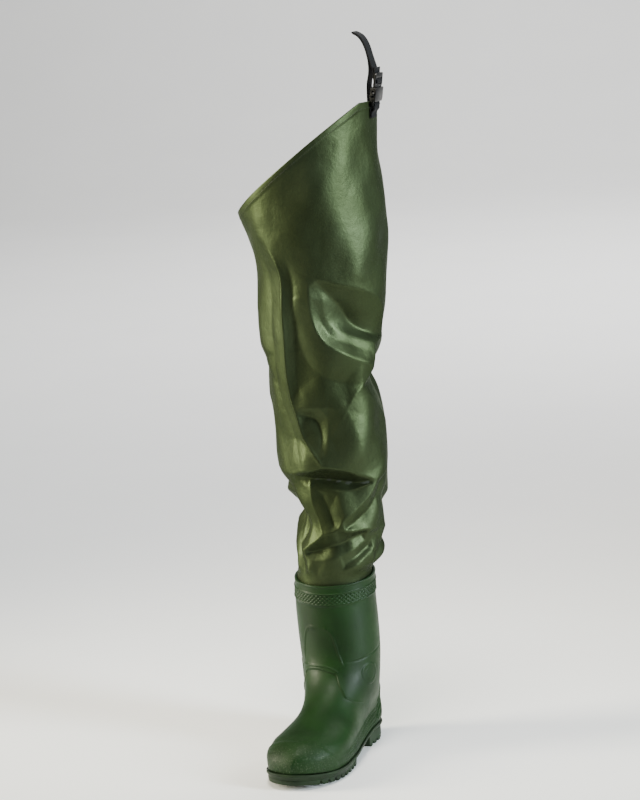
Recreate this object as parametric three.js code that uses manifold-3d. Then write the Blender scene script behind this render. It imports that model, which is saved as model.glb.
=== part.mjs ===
// A thigh wader for the left leg: a moulded boot with a cleated sole, a coated fabric leg that is
// welded into the boot's collar, and a belt strap with a side release buckle at the outer peak.
// Millimetres, +Z up, toe towards -Y, outer side towards +X. The origin is under the middle of the heel.
import * as THREE from 'three';
import { mergeVertices } from 'three/addons/utils/BufferGeometryUtils.js';
import Module from 'manifold-3d';

const wasm = await Module();
wasm.setup();

// Boot and sole.
const soleLength = 296;
const ballWidth = 110;
const heelBlockLength = 80;
const heelHeight = 30;
const ballHeight = 18;
const toeSpring = 9;
const cleatDepth = 6;
const bootHeight = 280;
const bootWall = 3;
const insoleThickness = 4;

// Fabric leg.
const legHeight = 1025;
const inseamHeight = 856;
const thighWidth = 226;
const legWall = 1;
const tuckDepth = 24;
const hemDepth = 12;
const hemStep = 0.8;
const peakTurn = 10;

// Raised forms of the moulded boot.
const knurlBandDepth = 17;
const knurlBandDrop = 13;
const bandStep = 1.2;
const capStep = 1.2;
const ankleDiscRadius = 17.5;
const heelRibCount = 4;
const heelRibPitch = 10;
const heelRibStep = 2;

// Belt strap and buckle.
const webWidth = 20;
const webThickness = 1.6;
const buckleLength = 50;
const buckleWidth = 30;
const buckleThickness = 9;
const loopRise = 102;
const strapSewn = 22;
const tabSewn = 26;

// Clearance between pieces that touch.
const gap = 0.3;

// Mesh density of the lofts.
const bootAround = 32;
const bootRings = 18;
const legAround = 32;
const legRings = 28;

const mix = (a, b, t) => a + (b - a) * t;
const clamp01 = (t) => Math.min(1, Math.max(0, t));
const smooth = (t) => clamp01(t) ** 2 * (3 - 2 * clamp01(t));
const bump = (d) => Math.exp(-d * d);

// Reads a named column of a table of sections at t from 0 to 1, as a smooth curve through its rows.
function column(table, name, t) {
  const place = clamp01(t) * (table.length - 1);
  const row = Math.min(table.length - 2, Math.floor(place));
  const f = place - row;
  const at = (i) => table[Math.min(table.length - 1, Math.max(0, i))][name];
  const [a, b, c, d] = [at(row - 1), at(row), at(row + 1), at(row + 2)];
  return b + 0.5 * f * (c - a + f * (2 * a - 5 * b + 4 * c - d + f * (3 * (b - c) + d - a)));
}

// Solids from rings of points. A ring list that comes back on itself makes a closed wall,
// and otherwise its first and last rings are capped by strips between facing points.
function ringSolid(rings, cameRound) {
  const around = rings[0].length;
  const corners = rings.flat().flatMap((p) => [p.x, p.y, p.z]);
  const faces = [];
  const index = (ring, i) => (ring % rings.length) * around + (i % around);
  for (let ring = 0; ring < rings.length - (cameRound ? 0 : 1); ring++) {
    for (let i = 0; i < around; i++) {
      const [a, b] = [index(ring, i), index(ring, i + 1)];
      const [c, d] = [index(ring + 1, i + 1), index(ring + 1, i)];
      faces.push(a, b, c, a, c, d);
    }
  }
  if (!cameRound) {
    for (const [ring, turn] of [[0, true], [rings.length - 1, false]]) {
      for (let i = 0; i < around / 2; i++) {
        const [a, b] = [index(ring, i), index(ring, i + 1)];
        const [c, d] = [index(ring, around - i - 1), index(ring, around - i)];
        const strip = [[a, b, c], [a, c, d]];
        for (const [p, q, r] of strip) {
          if (p !== q && q !== r && p !== r) faces.push(...(turn ? [p, r, q] : [p, q, r]));
        }
      }
    }
  }
  const geometry = new THREE.BufferGeometry();
  geometry.setAttribute('position', new THREE.Float32BufferAttribute(corners, 3));
  geometry.setIndex(faces);
  return toSolid(geometry);
}

function toSolid(geometry) {
  const bare = geometry.clone();
  bare.deleteAttribute('normal');
  bare.deleteAttribute('uv');
  const merged = mergeVertices(bare, 1e-4);
  const mesh = new wasm.Mesh({
    numProp: 3,
    vertProperties: new Float32Array(merged.attributes.position.array),
    triVerts: new Uint32Array(merged.index.array),
  });
  const made = new wasm.Manifold(mesh);
  if (made.volume() > 0) return made;
  for (let i = 0; i < mesh.triVerts.length; i += 3) {
    [mesh.triVerts[i + 1], mesh.triVerts[i + 2]] = [mesh.triVerts[i + 2], mesh.triVerts[i + 1]];
  }
  return new wasm.Manifold(mesh);
}

function toGeometry(solid) {
  const mesh = solid.getMesh();
  const geometry = new THREE.BufferGeometry();
  geometry.setAttribute('position', new THREE.BufferAttribute(mesh.vertProperties, 3));
  geometry.setIndex(new THREE.BufferAttribute(mesh.triVerts, 1));
  geometry.computeVertexNormals();
  return geometry;
}

const turned = (geometry, x, y, z) =>
  geometry.applyMatrix4(new THREE.Matrix4().makeRotationFromEuler(new THREE.Euler(x, y, z)));
const moved = (geometry, x, y, z) => geometry.translate(x, y, z);

// The sole's outline, half widths as shares of the ball width, from the heel's back to the toe's tip.
const soleOutline = [
  { outer: 0.355, inner: 0.355, shift: 0 },
  { outer: 0.365, inner: 0.36, shift: 0 },
  { outer: 0.365, inner: 0.335, shift: 0 },
  { outer: 0.375, inner: 0.3, shift: 0 },
  { outer: 0.4, inner: 0.31, shift: 0 },
  { outer: 0.445, inner: 0.385, shift: 0 },
  { outer: 0.49, inner: 0.46, shift: -0.01 },
  { outer: 0.515, inner: 0.5, shift: -0.02 },
  { outer: 0.5, inner: 0.515, shift: -0.04 },
  { outer: 0.46, inner: 0.51, shift: -0.06 },
  { outer: 0.41, inner: 0.5, shift: -0.08 },
];
const heelRound = 0.13;
const toeRound = 0.74;

// Half width of the foot's outline at a share of its length, on the outer (+1) or inner (-1) side.
function outlineHalf(share, side) {
  const s = clamp01(share);
  const heel = s < heelRound ? Math.sqrt(1 - (1 - s / heelRound) ** 2) : 1;
  const toe = s > toeRound ? (1 - ((s - toeRound) / (1 - toeRound)) ** 2.3) ** (1 / 2.3) : 1;
  const half = column(soleOutline, side > 0 ? 'outer' : 'inner', s) * heel * toe;
  return (side * half + column(soleOutline, 'shift', s)) * ballWidth;
}

// The sole's top, above the floor: raised heel, thinner waist, and a toe that springs up.
const soleTop = [
  { up: 1, spring: 0 },
  { up: 1, spring: 0 },
  { up: 0.93, spring: 0 },
  { up: 0.6, spring: 0 },
  { up: 0.2, spring: 0 },
  { up: 0.02, spring: 0 },
  { up: 0, spring: 0 },
  { up: 0, spring: 0.02 },
  { up: 0, spring: 0.18 },
  { up: 0, spring: 0.52 },
  { up: 0, spring: 1 },
];
const heelBack = heelBlockLength / 2;
const shareOfSole = (y) => (heelBack - y) / soleLength;
const springAt = (y) => toeSpring * Math.max(0, column(soleTop, 'spring', shareOfSole(y)));
const soleTopAt = (y) =>
  mix(ballHeight, heelHeight, column(soleTop, 'up', shareOfSole(y))) + springAt(y);

// The boot's sections, from the rim down to the line where it meets the sole. Each runs from a back
// point to a front point: outs are shares of the sole's length, ups of the boot's height, halves of
// the ball width, and aside the section's shift. Foot tells how far it has the foot's outline, and close
// how blunt its front is.
const bootSections = [
  { backOut: 0.182, backUp: 1.018, frontOut: 0.252, frontUp: 0.975, half: 0.57, aside: -0.168, foot: 0, close: 2 },
  { backOut: 0.177, backUp: 0.868, frontOut: 0.26, frontUp: 0.845, half: 0.583, aside: -0.168, foot: 0, close: 2 },
  { backOut: 0.17, backUp: 0.722, frontOut: 0.266, frontUp: 0.712, half: 0.588, aside: -0.145, foot: 0, close: 2 },
  { backOut: 0.16, backUp: 0.578, frontOut: 0.274, frontUp: 0.585, half: 0.58, aside: -0.118, foot: 0, close: 2 },
  { backOut: 0.148, backUp: 0.45, frontOut: 0.292, frontUp: 0.492, half: 0.556, aside: -0.095, foot: 0, close: 2 },
  { backOut: 0.144, backUp: 0.35, frontOut: 0.336, frontUp: 0.43, half: 0.527, aside: -0.073, foot: 0, close: 2 },
  { backOut: 0.152, backUp: 0.28, frontOut: 0.402, frontUp: 0.378, half: 0.51, aside: -0.055, foot: 0.12, close: 2.4 },
  { backOut: 0.163, backUp: 0.232, frontOut: 0.482, frontUp: 0.334, half: 0.495, aside: -0.041, foot: 0.35, close: 3 },
  { backOut: 0.167, backUp: 0.198, frontOut: 0.573, frontUp: 0.296, half: 0.491, aside: -0.027, foot: 0.65, close: 4 },
  { backOut: 0.164, backUp: 0.172, frontOut: 0.672, frontUp: 0.264, half: 0.495, aside: -0.014, foot: 0.9, close: 6 },
  { backOut: 0.156, backUp: 0.152, frontOut: 0.762, frontUp: 0.234, half: 0.5, aside: -0.005, foot: 1, close: 10 },
  { backOut: 0.148, backUp: 0.136, frontOut: 0.824, frontUp: 0.193, half: 0.503, aside: 0, foot: 1, close: 22 },
  { backOut: 0.14, backUp: 0.122, frontOut: 0.853, frontUp: 0.145, half: 0.497, aside: 0, foot: 1, close: 60 },
  { backOut: 0.125, backUp: 0.108, frontOut: 0.855, frontUp: 0.097, half: 0.48, aside: 0, foot: 1, close: 90 },
];
const sectionDrop = 0.5;

// A point of the boot's outer surface: around from 0 at the back, over the outer side to 0.5 at the
// toe and back over the inner side, and down from 0 at the rim to 1 at the sole.
function bootPoint(around, down) {
  const read = (name) => column(bootSections, name, down);
  const side = around < 0.5 ? 1 : -1;
  const s = (1 - Math.cos(2 * Math.PI * around)) / 2;
  const back = read('backOut') * soleLength;
  const front = -read('frontOut') * soleLength;
  const toeTip = -bootSections.at(-1).frontOut * soleLength;
  const y = mix(back, front, s);
  const half = read('half');
  const oval = side * half * ballWidth * Math.sqrt(Math.max(0, 1 - (2 * s - 1) ** 2));
  const foot = outlineHalf((back - y) / (back - Math.min(toeTip, front)), side);
  const closed = Math.sqrt(Math.max(0, 1 - s ** read('close')));
  const x = mix(oval, (foot * half * closed) / 0.5, clamp01(read('foot')));
  const straight = mix(read('backUp'), read('frontUp'), s) * bootHeight;
  const low = smooth((down - sectionDrop) / (1 - sectionDrop));
  const ends = mix(soleTopAt(back), soleTopAt(front), s);
  const z = straight + low * (soleTopAt(y) - ends) * (1 - (2 * s - 1) ** 8);
  return new THREE.Vector3(x + read('aside') * ballWidth, y, z);
}

// The point moved along the surface's own normal, by a length that is negative inwards.
function offsetPoint(surface, around, down, length) {
  const step = 1e-3;
  const here = surface(around, down);
  const side = surface((around + step) % 1, down).sub(surface((around + 1 - step) % 1, down));
  const along = surface(around, Math.min(1, down + step)).sub(surface(around, Math.max(0, down - step)));
  return here.addScaledVector(side.cross(along).normalize(), length);
}

function ringOf(surface, count, down, length) {
  return Array.from({ length: count }, (_, i) => offsetPoint(surface, i / count, down, length));
}

// The sole's outline and sides. Down runs from 0 at the top edge to 1 at the tread body's underside.
const waistRise = 15;

// The tread body's underside, as a share of the waist's rise: high under the heel and waist, where
// the heel block hangs below it, and low under the ball.
const soleUnder = [
  { rise: 1 },
  { rise: 1 },
  { rise: 1 },
  { rise: 1 },
  { rise: 0.72 },
  { rise: 0.3 },
  { rise: 0.06 },
  { rise: 0 },
  { rise: 0 },
  { rise: 0 },
  { rise: 0 },
];
const soleUnderAt = (y) =>
  cleatDepth + waistRise * Math.max(0, column(soleUnder, 'rise', shareOfSole(y))) + springAt(y);

function solePoint(around, outset) {
  const side = around < 0.5 ? 1 : -1;
  const s = (1 - Math.cos(2 * Math.PI * around)) / 2;
  const y = mix(heelBack, heelBack - soleLength, s);
  const flat = new THREE.Vector2(outlineHalf(s, side), y);
  const middle = new THREE.Vector2(0, clampTo(y, heelBack - soleLength * 0.8, 0));
  const out = flat.clone().sub(middle).normalize();
  return flat.addScaledVector(out, outset);
}

function clampTo(value, low, high) {
  return Math.min(high, Math.max(low, value));
}

const soleAround = 48;
const lipHeight = 4.5;
const lipOut = 1.4;
const sideTaper = 1.5;

function soleRing(outset, height) {
  return Array.from({ length: soleAround }, (_, i) => {
    const p = solePoint(i / soleAround, outset);
    return new THREE.Vector3(p.x, p.y, height(p.y));
  });
}

function soleBody() {
  const top = (drop) => (y) => soleTopAt(y) - gap - drop;
  return ringSolid([
    soleRing(-1, top(0)),
    soleRing(lipOut - 0.4, top(0)),
    soleRing(lipOut, top(1)),
    soleRing(lipOut, top(lipHeight - 1)),
    soleRing(0, top(lipHeight)),
    soleRing(-sideTaper, soleUnderAt),
  ], false);
}

// A block of the sole between two heights, with the sole's outline, cut off in front of and behind two places.
function soleBlock(low, high, front, back, outset) {
  const prism = ringSolid([soleRing(outset, () => high), soleRing(outset, () => low)], false);
  return prism.intersect(slab(front, back, low - 1, high + 1));
}

function slab(front, back, low, high) {
  const box = new THREE.BoxGeometry(ballWidth * 2, back - front, high - low);
  return toSolid(moved(box, 0, (front + back) / 2, (low + high) / 2));
}

// A bar across the whole boot with that outline, given as pairs of y and z.
function crossBar(outline) {
  const shape = new THREE.Shape(outline.map(([y, z]) => new THREE.Vector2(y, z)));
  const bar = new THREE.ExtrudeGeometry(shape, { depth: ballWidth * 2, bevelEnabled: false });
  const basis = new THREE.Matrix4().makeBasis(
    new THREE.Vector3(0, 1, 0), new THREE.Vector3(0, 0, 1), new THREE.Vector3(1, 0, 0));
  return toSolid(moved(bar.applyMatrix4(basis), -ballWidth, 0, 0));
}

// One cleat across the sole: a saw tooth that is steep behind and sloped in front.
function cleat(y, length, low, top) {
  return crossBar([
    [y - length * 0.5, top], [y - length * 0.12, low], [y + length * 0.42, low], [y + length * 0.5, top],
  ]);
}

const cleatPitch = 13.5;
const cleatLength = 12.5;
const cleatFront = -218;
const cleatCount = 8;
const heelCleatCount = 5;
const heelCleatPitch = heelBlockLength / heelCleatCount;
const cleatSeat = 2;

function outsole() {
  const heelFront = -heelBlockLength / 2;
  let sole = soleBody();
  const heelTop = soleUnderAt(heelFront) + cleatSeat;
  sole = sole.add(soleBlock(cleatDepth, heelTop, heelFront, heelBack + 5, -sideTaper));
  for (let i = 0; i < heelCleatCount; i++) {
    const y = heelFront + heelCleatPitch * (i + 0.5);
    const foot = ringSolid([soleRing(-sideTaper - 0.2, () => heelHeight), soleRing(-sideTaper - 0.8, () => 0)], false);
    sole = sole.add(cleat(y, heelCleatPitch - 1.2, 0, cleatDepth + cleatSeat).intersect(foot));
  }
  for (let i = 0; i < cleatCount; i++) {
    const y = cleatFront + cleatPitch * i;
    const low = springAt(y);
    const foot = ringSolid([
      soleRing(-sideTaper * 0.6, () => low + cleatDepth * 2),
      soleRing(-sideTaper, () => low),
    ], false);
    sole = sole.add(cleat(y, cleatLength, low, soleUnderAt(y) + cleatSeat).intersect(foot));
  }
  const toeTip = heelBack - soleLength;
  const toeBar = ringSolid([
    soleRing(-sideTaper * 0.5, (y) => soleUnderAt(y) + cleatSeat),
    soleRing(-sideTaper, (y) => springAt(y) + 0.5),
  ], false);
  return sole.add(toeBar.intersect(slab(toeTip - 5, cleatFront - cleatPitch * 0.62, -5, heelHeight)));
}

function insole() {
  const edge = ringOf(bootPoint, bootAround, 1, -(bootWall + gap * 3));
  const ring = (lift) => edge.map((p) => new THREE.Vector3(p.x, p.y, soleTopAt(p.y) + gap + lift));
  return ringSolid([ring(insoleThickness), ring(0)], false);
}

// The boot's wall between two offsets from its outer face: open at the rim and over the sole.
function bootShell(outer, inner) {
  const rings = [];
  for (let i = 0; i <= bootRings; i++) rings.push(ringOf(bootPoint, bootAround, i / bootRings, outer));
  for (let i = bootRings; i >= 0; i--) rings.push(ringOf(bootPoint, bootAround, i / bootRings, inner));
  return ringSolid(rings, true);
}

function rimAt(y) {
  const rim = bootSections[0];
  const back = rim.backOut * soleLength;
  const front = -rim.frontOut * soleLength;
  return mix(rim.backUp, rim.frontUp, (back - y) / (back - front)) * bootHeight;
}

// A slanted slab that follows the rim, from one depth below it to another.
function rimSlab(upper, lower) {
  const front = -soleLength * 0.5;
  const back = soleLength * 0.4;
  return crossBar([
    [front, rimAt(front) - lower], [back, rimAt(back) - lower],
    [back, rimAt(back) - upper], [front, rimAt(front) - upper],
  ]);
}

const capBack = -196;
const capLean = 0.5;
const ankleHeight = 127;
const ankleBack = -43;
const ribFront = 6;
const ribRise = 0.62;

function toeCapRegion() {
  const box = new THREE.BoxGeometry(ballWidth * 2, soleLength, bootHeight);
  return toSolid(moved(turned(moved(box, 0, -soleLength / 2, 0), capLean, 0, 0), 0, capBack, heelHeight * 1.3));
}

function ankleRegion() {
  const disc = new THREE.CylinderGeometry(ankleDiscRadius, ankleDiscRadius, ballWidth * 3, 24);
  return toSolid(moved(turned(disc, 0, 0, Math.PI / 2), 0, ankleBack, ankleHeight));
}

// One of the slanting ribs that wrap the heel, rising towards the back.
function heelRibRegion(i) {
  const z = heelHeight + 8 + heelRibPitch * i;
  const back = heelBack + 12;
  const front = ribFront + i * 2.5;
  const rise = (back - front) * ribRise;
  return crossBar([
    [front, z], [back, z + rise], [back, z + rise + heelRibPitch * 0.5], [front, z + heelRibPitch * 0.3],
  ]);
}

function dressedBoot() {
  let boot = bootShell(0, -bootWall);
  const regions = [
    [bandStep, rimSlab(-1, knurlBandDrop + gap)],
    [bandStep * 1.6, rimSlab(knurlBandDrop, knurlBandDrop + knurlBandDepth)],
    [capStep, toeCapRegion()],
    [bandStep, ankleRegion()],
  ];
  for (let i = 0; i < heelRibCount; i++) regions.push([heelRibStep, heelRibRegion(i)]);
  for (const [step, region] of regions) {
    boot = boot.add(bootShell(step, -bootWall / 2).intersect(region));
  }
  return boot;
}

// The leg's sections at even heights from the tuck to the peak: middle and half widths, as shares of
// the thigh's width. Aside is towards the outer side and aback towards the heel.
const legSections = [
  { aside: -0.062, aback: -0.053, wide: 0.248, deep: 0.265 },
  { aside: -0.046, aback: -0.035, wide: 0.296, deep: 0.292 },
  { aside: -0.027, aback: -0.022, wide: 0.31, deep: 0.305 },
  { aside: -0.055, aback: -0.004, wide: 0.363, deep: 0.35 },
  { aside: -0.073, aback: 0.009, wide: 0.376, deep: 0.363 },
  { aside: -0.099, aback: 0.013, wide: 0.385, deep: 0.381 },
  { aside: -0.105, aback: 0.009, wide: 0.405, deep: 0.403 },
  { aside: -0.103, aback: 0.0, wide: 0.42, deep: 0.42 },
  { aside: -0.077, aback: -0.009, wide: 0.438, deep: 0.434 },
  { aside: -0.098, aback: -0.022, wide: 0.491, deep: 0.473 },
  { aside: -0.131, aback: -0.035, wide: 0.518, deep: 0.491 },
  { aside: -0.133, aback: -0.04, wide: 0.504, deep: 0.491 },
  { aside: -0.102, aback: -0.044, wide: 0.482, deep: 0.487 },
];
const legBottom = bootHeight - tuckDepth;
const bulgeRise = 26;
const tuckShare = 0.06;
const shaftRow = (bootSections[0].backUp - bootSections[1].backUp) * bootHeight;
const tuckDown = tuckDepth / shaftRow / (bootSections.length - 1);
const peakOver = 11;

// Height of the mouth's edge all round: a slanting cut, flat where the strap is sewn on.
function mouthHeight(around) {
  const facing = Math.cos(2 * Math.PI * (around - 0.25) + THREE.MathUtils.degToRad(peakTurn));
  return Math.min(legHeight, mix(inseamHeight, legHeight + peakOver, (1 + facing) / 2));
}

// The main folds: where each lies around and up the leg, how it slants (degrees above level),
// its half length and half width, and how deep it goes in (or stands out, where it is negative).
const legFolds = [
  { around: 0.33, up: 0.665, slant: 12, length: 0.3, width: 0.13, depth: 0.05 },
  { around: 0.2, up: 0.585, slant: -8, length: 0.26, width: 0.12, depth: 0.045 },
  { around: 0.45, up: 0.43, slant: -6, length: 0.42, width: 0.12, depth: 0.045 },
  { around: 0.64, up: 0.37, slant: 10, length: 0.3, width: 0.12, depth: 0.055 },
  { around: 0.3, up: 0.335, slant: -10, length: 0.3, width: 0.11, depth: 0.04 },
  { around: 0.9, up: 0.45, slant: 12, length: 0.34, width: 0.13, depth: 0.05 },
  { around: 0.88, up: 0.38, slant: -12, length: 0.3, width: 0.12, depth: 0.04 },
];

function foldDepth(around, z) {
  let sum = 0;
  for (const fold of legFolds) {
    const turn = ((around - fold.around + 1.5) % 1) - 0.5;
    const along = turn * Math.PI * 0.85;
    const rise = (z - fold.up * legHeight) / thighWidth;
    const slant = THREE.MathUtils.degToRad(fold.slant);
    const p = along * Math.cos(slant) + rise * Math.sin(slant);
    const q = rise * Math.cos(slant) - along * Math.sin(slant);
    sum += fold.depth * bump(p / fold.length) * bump(q / fold.width);
  }
  return sum * thighWidth;
}

// A point of the leg's outer face: down from 0 at the mouth to 1 at the lower edge inside the collar.
function legPoint(around, down) {
  const inside = -(bootWall + gap);
  const tuck = down - (1 - tuckShare);
  if (tuck > 0) return offsetPoint(bootPoint, around, (tuck / tuckShare) * tuckDown, inside);
  const foot = offsetPoint(bootPoint, around, 0, inside);
  const z = mix(mouthHeight(around), foot.z, down / (1 - tuckShare));
  const place = (z - legBottom) / (legHeight - legBottom);
  const read = (name) => column(legSections, name, place) * thighWidth;
  const turn = 2 * Math.PI * around;
  const free = smooth((z - foot.z - bandStep * 2) / bulgeRise);
  const sunk = foldDepth(around, z) * smooth((z - foot.z) / (bulgeRise * 2));
  const x = read('aside') + (read('wide') - sunk) * Math.sin(turn);
  const y = read('aback') + (read('deep') - sunk) * Math.cos(turn);
  return new THREE.Vector3(mix(foot.x, x, free), mix(foot.y, y, free), z);
}

function fabricLeg() {
  const hem = hemDepth / (legHeight - legBottom);
  const downs = [];
  for (let i = 0; i <= legRings; i++) downs.push(mix(hem, 1 - tuckShare * 1.5, i / legRings));
  downs.push(1 - tuckShare * 1.2, 1 - tuckShare, 1 - tuckShare / 2, 1);
  const outer = downs.map((down) => ringOf(legPoint, legAround, down, 0));
  const inner = [0, ...downs].map((down) => ringOf(legPoint, legAround, down, -legWall));
  const hemOuter = [0, hem - 0.001].map((down) => ringOf(legPoint, legAround, down, hemStep));
  return ringSolid([...hemOuter, ...outer, ...inner.reverse()], true);
}

// Belt strap and buckle. The buckle's own frame stands on the peak of the leg and leans outwards:
// across is the strap's width, up the buckle's length, and out its thickness.
const buckleLean = THREE.MathUtils.degToRad(10);
const peak = legPoint(0.25, 0);
const buckleFoot = new THREE.Vector3(peak.x + 5.5, peak.y, legHeight - 7.5);
const buckleUp = new THREE.Vector3(Math.sin(buckleLean), 0, Math.cos(buckleLean));
const buckleOut = new THREE.Vector3(Math.cos(buckleLean), 0, -Math.sin(buckleLean));
const buckleFrame = new THREE.Matrix4()
  .makeBasis(new THREE.Vector3(0, 1, 0), buckleUp, buckleOut)
  .setPosition(buckleFoot);

function plate(outline, holes, thickness) {
  const shape = new THREE.Shape(outline.map(([x, y]) => new THREE.Vector2(x, y)));
  for (const hole of holes) shape.holes.push(new THREE.Path(hole.map(([x, y]) => new THREE.Vector2(x, y))));
  const geometry = new THREE.ExtrudeGeometry(shape, { depth: thickness, bevelEnabled: false });
  return toSolid(moved(geometry, 0, 0, -thickness / 2).applyMatrix4(buckleFrame));
}

const bar = (width, low, high) => [[-width, low], [width, low], [width, high], [-width, high]];
const socketTop = buckleLength * 0.54;
const halfBuckle = buckleWidth / 2;
const slotHalf = webWidth / 2 + 1;
const slotWidth = webThickness * 2 + gap * 2;
const frameBar = 3.2;
const armThickness = 3.6;
const cavityHalf = halfBuckle - 2.6;

// The socket: a flat shell with a slotted bar below for the tab, open above, with a window at each side.
function buckleSocket() {
  const neck = slotWidth + frameBar;
  const rails = plate(bar(slotHalf + 2.4, 0, neck + 3), [bar(slotHalf, frameBar, neck)], frameBar);
  const shell = plate([
    [-slotHalf - 2.4, neck], [slotHalf + 2.4, neck], [halfBuckle, neck + 6], [halfBuckle - 1, socketTop],
    [halfBuckle - 3, socketTop + 1.5], [3 - halfBuckle, socketTop + 1.5], [1 - halfBuckle, socketTop],
    [-halfBuckle, neck + 6],
  ], [], buckleThickness);
  const cavity = plate(bar(cavityHalf, neck + 2, socketTop + 5), [], armThickness + gap * 2);
  const windows = plate(bar(buckleWidth, neck + 6, socketTop - 4), [], armThickness + gap * 2);
  return rails.add(shell).subtract(cavity).subtract(windows);
}

// The plug: two sprung arms with thumb pads and a middle guide below, a ladder of two slots above.
function bucklePlug() {
  const foot = slotWidth + frameBar + 3;
  const padLow = foot + 5;
  const padHigh = socketTop - 6.5;
  const base = socketTop + 2;
  const arm = (side) => plate([
    [side * (cavityHalf - 3.5), base + 1], [side * (cavityHalf - 4), foot + 1], [side * (cavityHalf - 1), foot],
    [side * (cavityHalf - 0.6), padLow - 1], [side * (halfBuckle + 0.8), padLow + 1],
    [side * (halfBuckle + 1), padHigh - 1], [side * (cavityHalf - 0.6), padHigh + 2],
    [side * (cavityHalf - 0.8), base + 1],
  ], [], armThickness);
  const guide = plate(bar(2, foot + 3, base + 1), [], armThickness);
  const slots = [0, 1].map((i) => {
    const low = base + frameBar + i * (slotWidth + frameBar);
    return bar(slotHalf, low, low + slotWidth);
  });
  const ladder = plate([
    [2 - halfBuckle, base], [halfBuckle - 2, base], [halfBuckle - 0.5, base + 3],
    [slotHalf + 2.2, buckleLength - 2], [slotHalf, buckleLength], [-slotHalf, buckleLength],
    [-slotHalf - 2.2, buckleLength - 2], [0.5 - halfBuckle, base + 3],
  ], slots, frameBar);
  return ladder.add(guide).add(arm(1)).add(arm(-1));
}

// A flat ribbon of webbing along a route in the plane across the leg.
function ribbon(route, steps) {
  const curve = new THREE.CatmullRomCurve3(route, false, 'centripetal');
  const wide = new THREE.Vector3(0, 1, 0);
  const rings = [];
  for (let i = 0; i <= steps; i++) {
    const p = curve.getPointAt(i / steps);
    const thick = curve.getTangentAt(i / steps).cross(wide).normalize();
    rings.push([[1, 1], [1, -1], [-1, -1], [-1, 1]].map(([a, b]) => p.clone()
      .addScaledVector(wide, (a * webWidth) / 2)
      .addScaledVector(thick, (b * webThickness) / 2)));
  }
  return ringSolid(rings, false);
}

const ply = webThickness / 2;
const legSkin = (z) => legPoint(0.25, (legHeight - z) / (legHeight - legBottom)).x;
const inBuckle = (out, up) => buckleFoot.clone().addScaledVector(buckleOut, out).addScaledVector(buckleUp, up);
const inLoop = (out, z) => new THREE.Vector3(peak.x + out, peak.y, z);

// The tab: sewn to the outer face of the peak, up through the socket's slot and down again.
function strapTab() {
  const skin = (drop, plies) => new THREE.Vector3(
    legSkin(legHeight - drop) + hemStep + (gap + webThickness) * plies - ply, peak.y, legHeight - drop);
  const turn = frameBar / 2 + gap * 2 + ply;
  const over = frameBar + gap * 2 + ply;
  return ribbon([
    skin(tabSewn, 1),
    skin(tabSewn * 0.7, 1),
    inBuckle(-turn, -buckleLength * 0.1),
    inBuckle(-turn, 0),
    inBuckle(-turn, frameBar + gap),
    inBuckle(-turn * 0.45, over),
    inBuckle(turn * 0.45, over),
    inBuckle(turn, frameBar + gap),
    inBuckle(turn, 0),
    inBuckle(turn, -buckleLength * 0.08),
    skin(tabSewn * 0.7, 2),
    skin(tabSewn * 0.96, 2),
  ], 30);
}

// The belt strap's way up from the peak to the top of its loop, outwards and upwards, as shares of
// the loop's rise, and its way back down to the plug.
const strapRise = [
  { out: -0.0235, up: 0.245 },
  { out: 0.0118, up: 0.402 },
  { out: 0.0235, up: 0.52 },
  { out: 0.0078, up: 0.647 },
  { out: -0.0314, up: 0.794 },
  { out: -0.0686, up: 0.892 },
  { out: -0.1373, up: 0.941 },
  { out: -0.2157, up: 1 },
];
const strapReturn = [
  { out: -0.1431, up: 0.9667 },
  { out: -0.0588, up: 0.9176 },
  { out: -0.0098, up: 0.8059 },
  { out: 0.0333, up: 0.6667 },
];

// Its way through the plug's ladder, in the buckle's frame, as shares of the buckle's length.
const strapLadder = [
  { out: -0.098, up: 0.98 },
  { out: -0.094, up: 0.86 },
  { out: -0.068, up: 0.776 },
  { out: -0.05, up: 0.7 },
  { out: -0.012, up: 0.678 },
  { out: 0.038, up: 0.684 },
  { out: 0.058, up: 0.752 },
  { out: 0.038, up: 0.818 },
  { out: -0.012, up: 0.822 },
  { out: -0.05, up: 0.836 },
  { out: -0.06, up: 0.9 },
  { out: -0.06, up: 1 },
  { out: -0.066, up: 1.16 },
];

// The belt strap: sewn inside the peak, up to a bight at the top where a belt goes through, back down
// face to face, and through the plug's ladder, with its tail between the ladder's bar and the strap.
function beltStrap() {
  const pair = webThickness + gap * 1.5;
  const sewn = (drop) => new THREE.Vector3(
    legSkin(legHeight - drop) - legWall - ply - gap * 4, peak.y, legHeight - drop);
  const loop = ({ out, up }) => inLoop(out * loopRise, legHeight + up * loopRise);
  return ribbon([
    sewn(strapSewn),
    sewn(strapSewn * 0.36),
    ...strapRise.map(loop),
    inLoop(strapRise.at(-1).out * loopRise - pair * 0.7, legHeight + loopRise + pair),
    ...strapReturn.map(loop),
    ...strapLadder.map(({ out, up }) => inBuckle(out * buckleLength, up * buckleLength)),
  ], 84);
}

const group = new THREE.Group();
function addPiece(name, solid, colour, roughness) {
  const material = new THREE.MeshStandardMaterial({ color: colour, roughness, metalness: 0 });
  const mesh = new THREE.Mesh(toGeometry(solid), material);
  mesh.name = name;
  group.add(mesh);
}

const bootGreen = 0x2f4a2b;
const fabricGreen = 0x48502c;
const soleGreen = 0x26382a;
const webBlack = 0x121212;
const liningGrey = 0x55584c;
addPiece('boot_upper', dressedBoot(), bootGreen, 0.45);
addPiece('outsole', outsole(), soleGreen, 0.6);
addPiece('insole', insole(), liningGrey, 0.9);
addPiece('leg', fabricLeg(), fabricGreen, 0.35);
addPiece('buckle_socket', buckleSocket(), webBlack, 0.35);
addPiece('buckle_plug', bucklePlug(), webBlack, 0.35);
addPiece('strap_tab', strapTab(), webBlack, 0.8);
addPiece('belt_strap', beltStrap(), webBlack, 0.8);

export default group;
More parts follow.
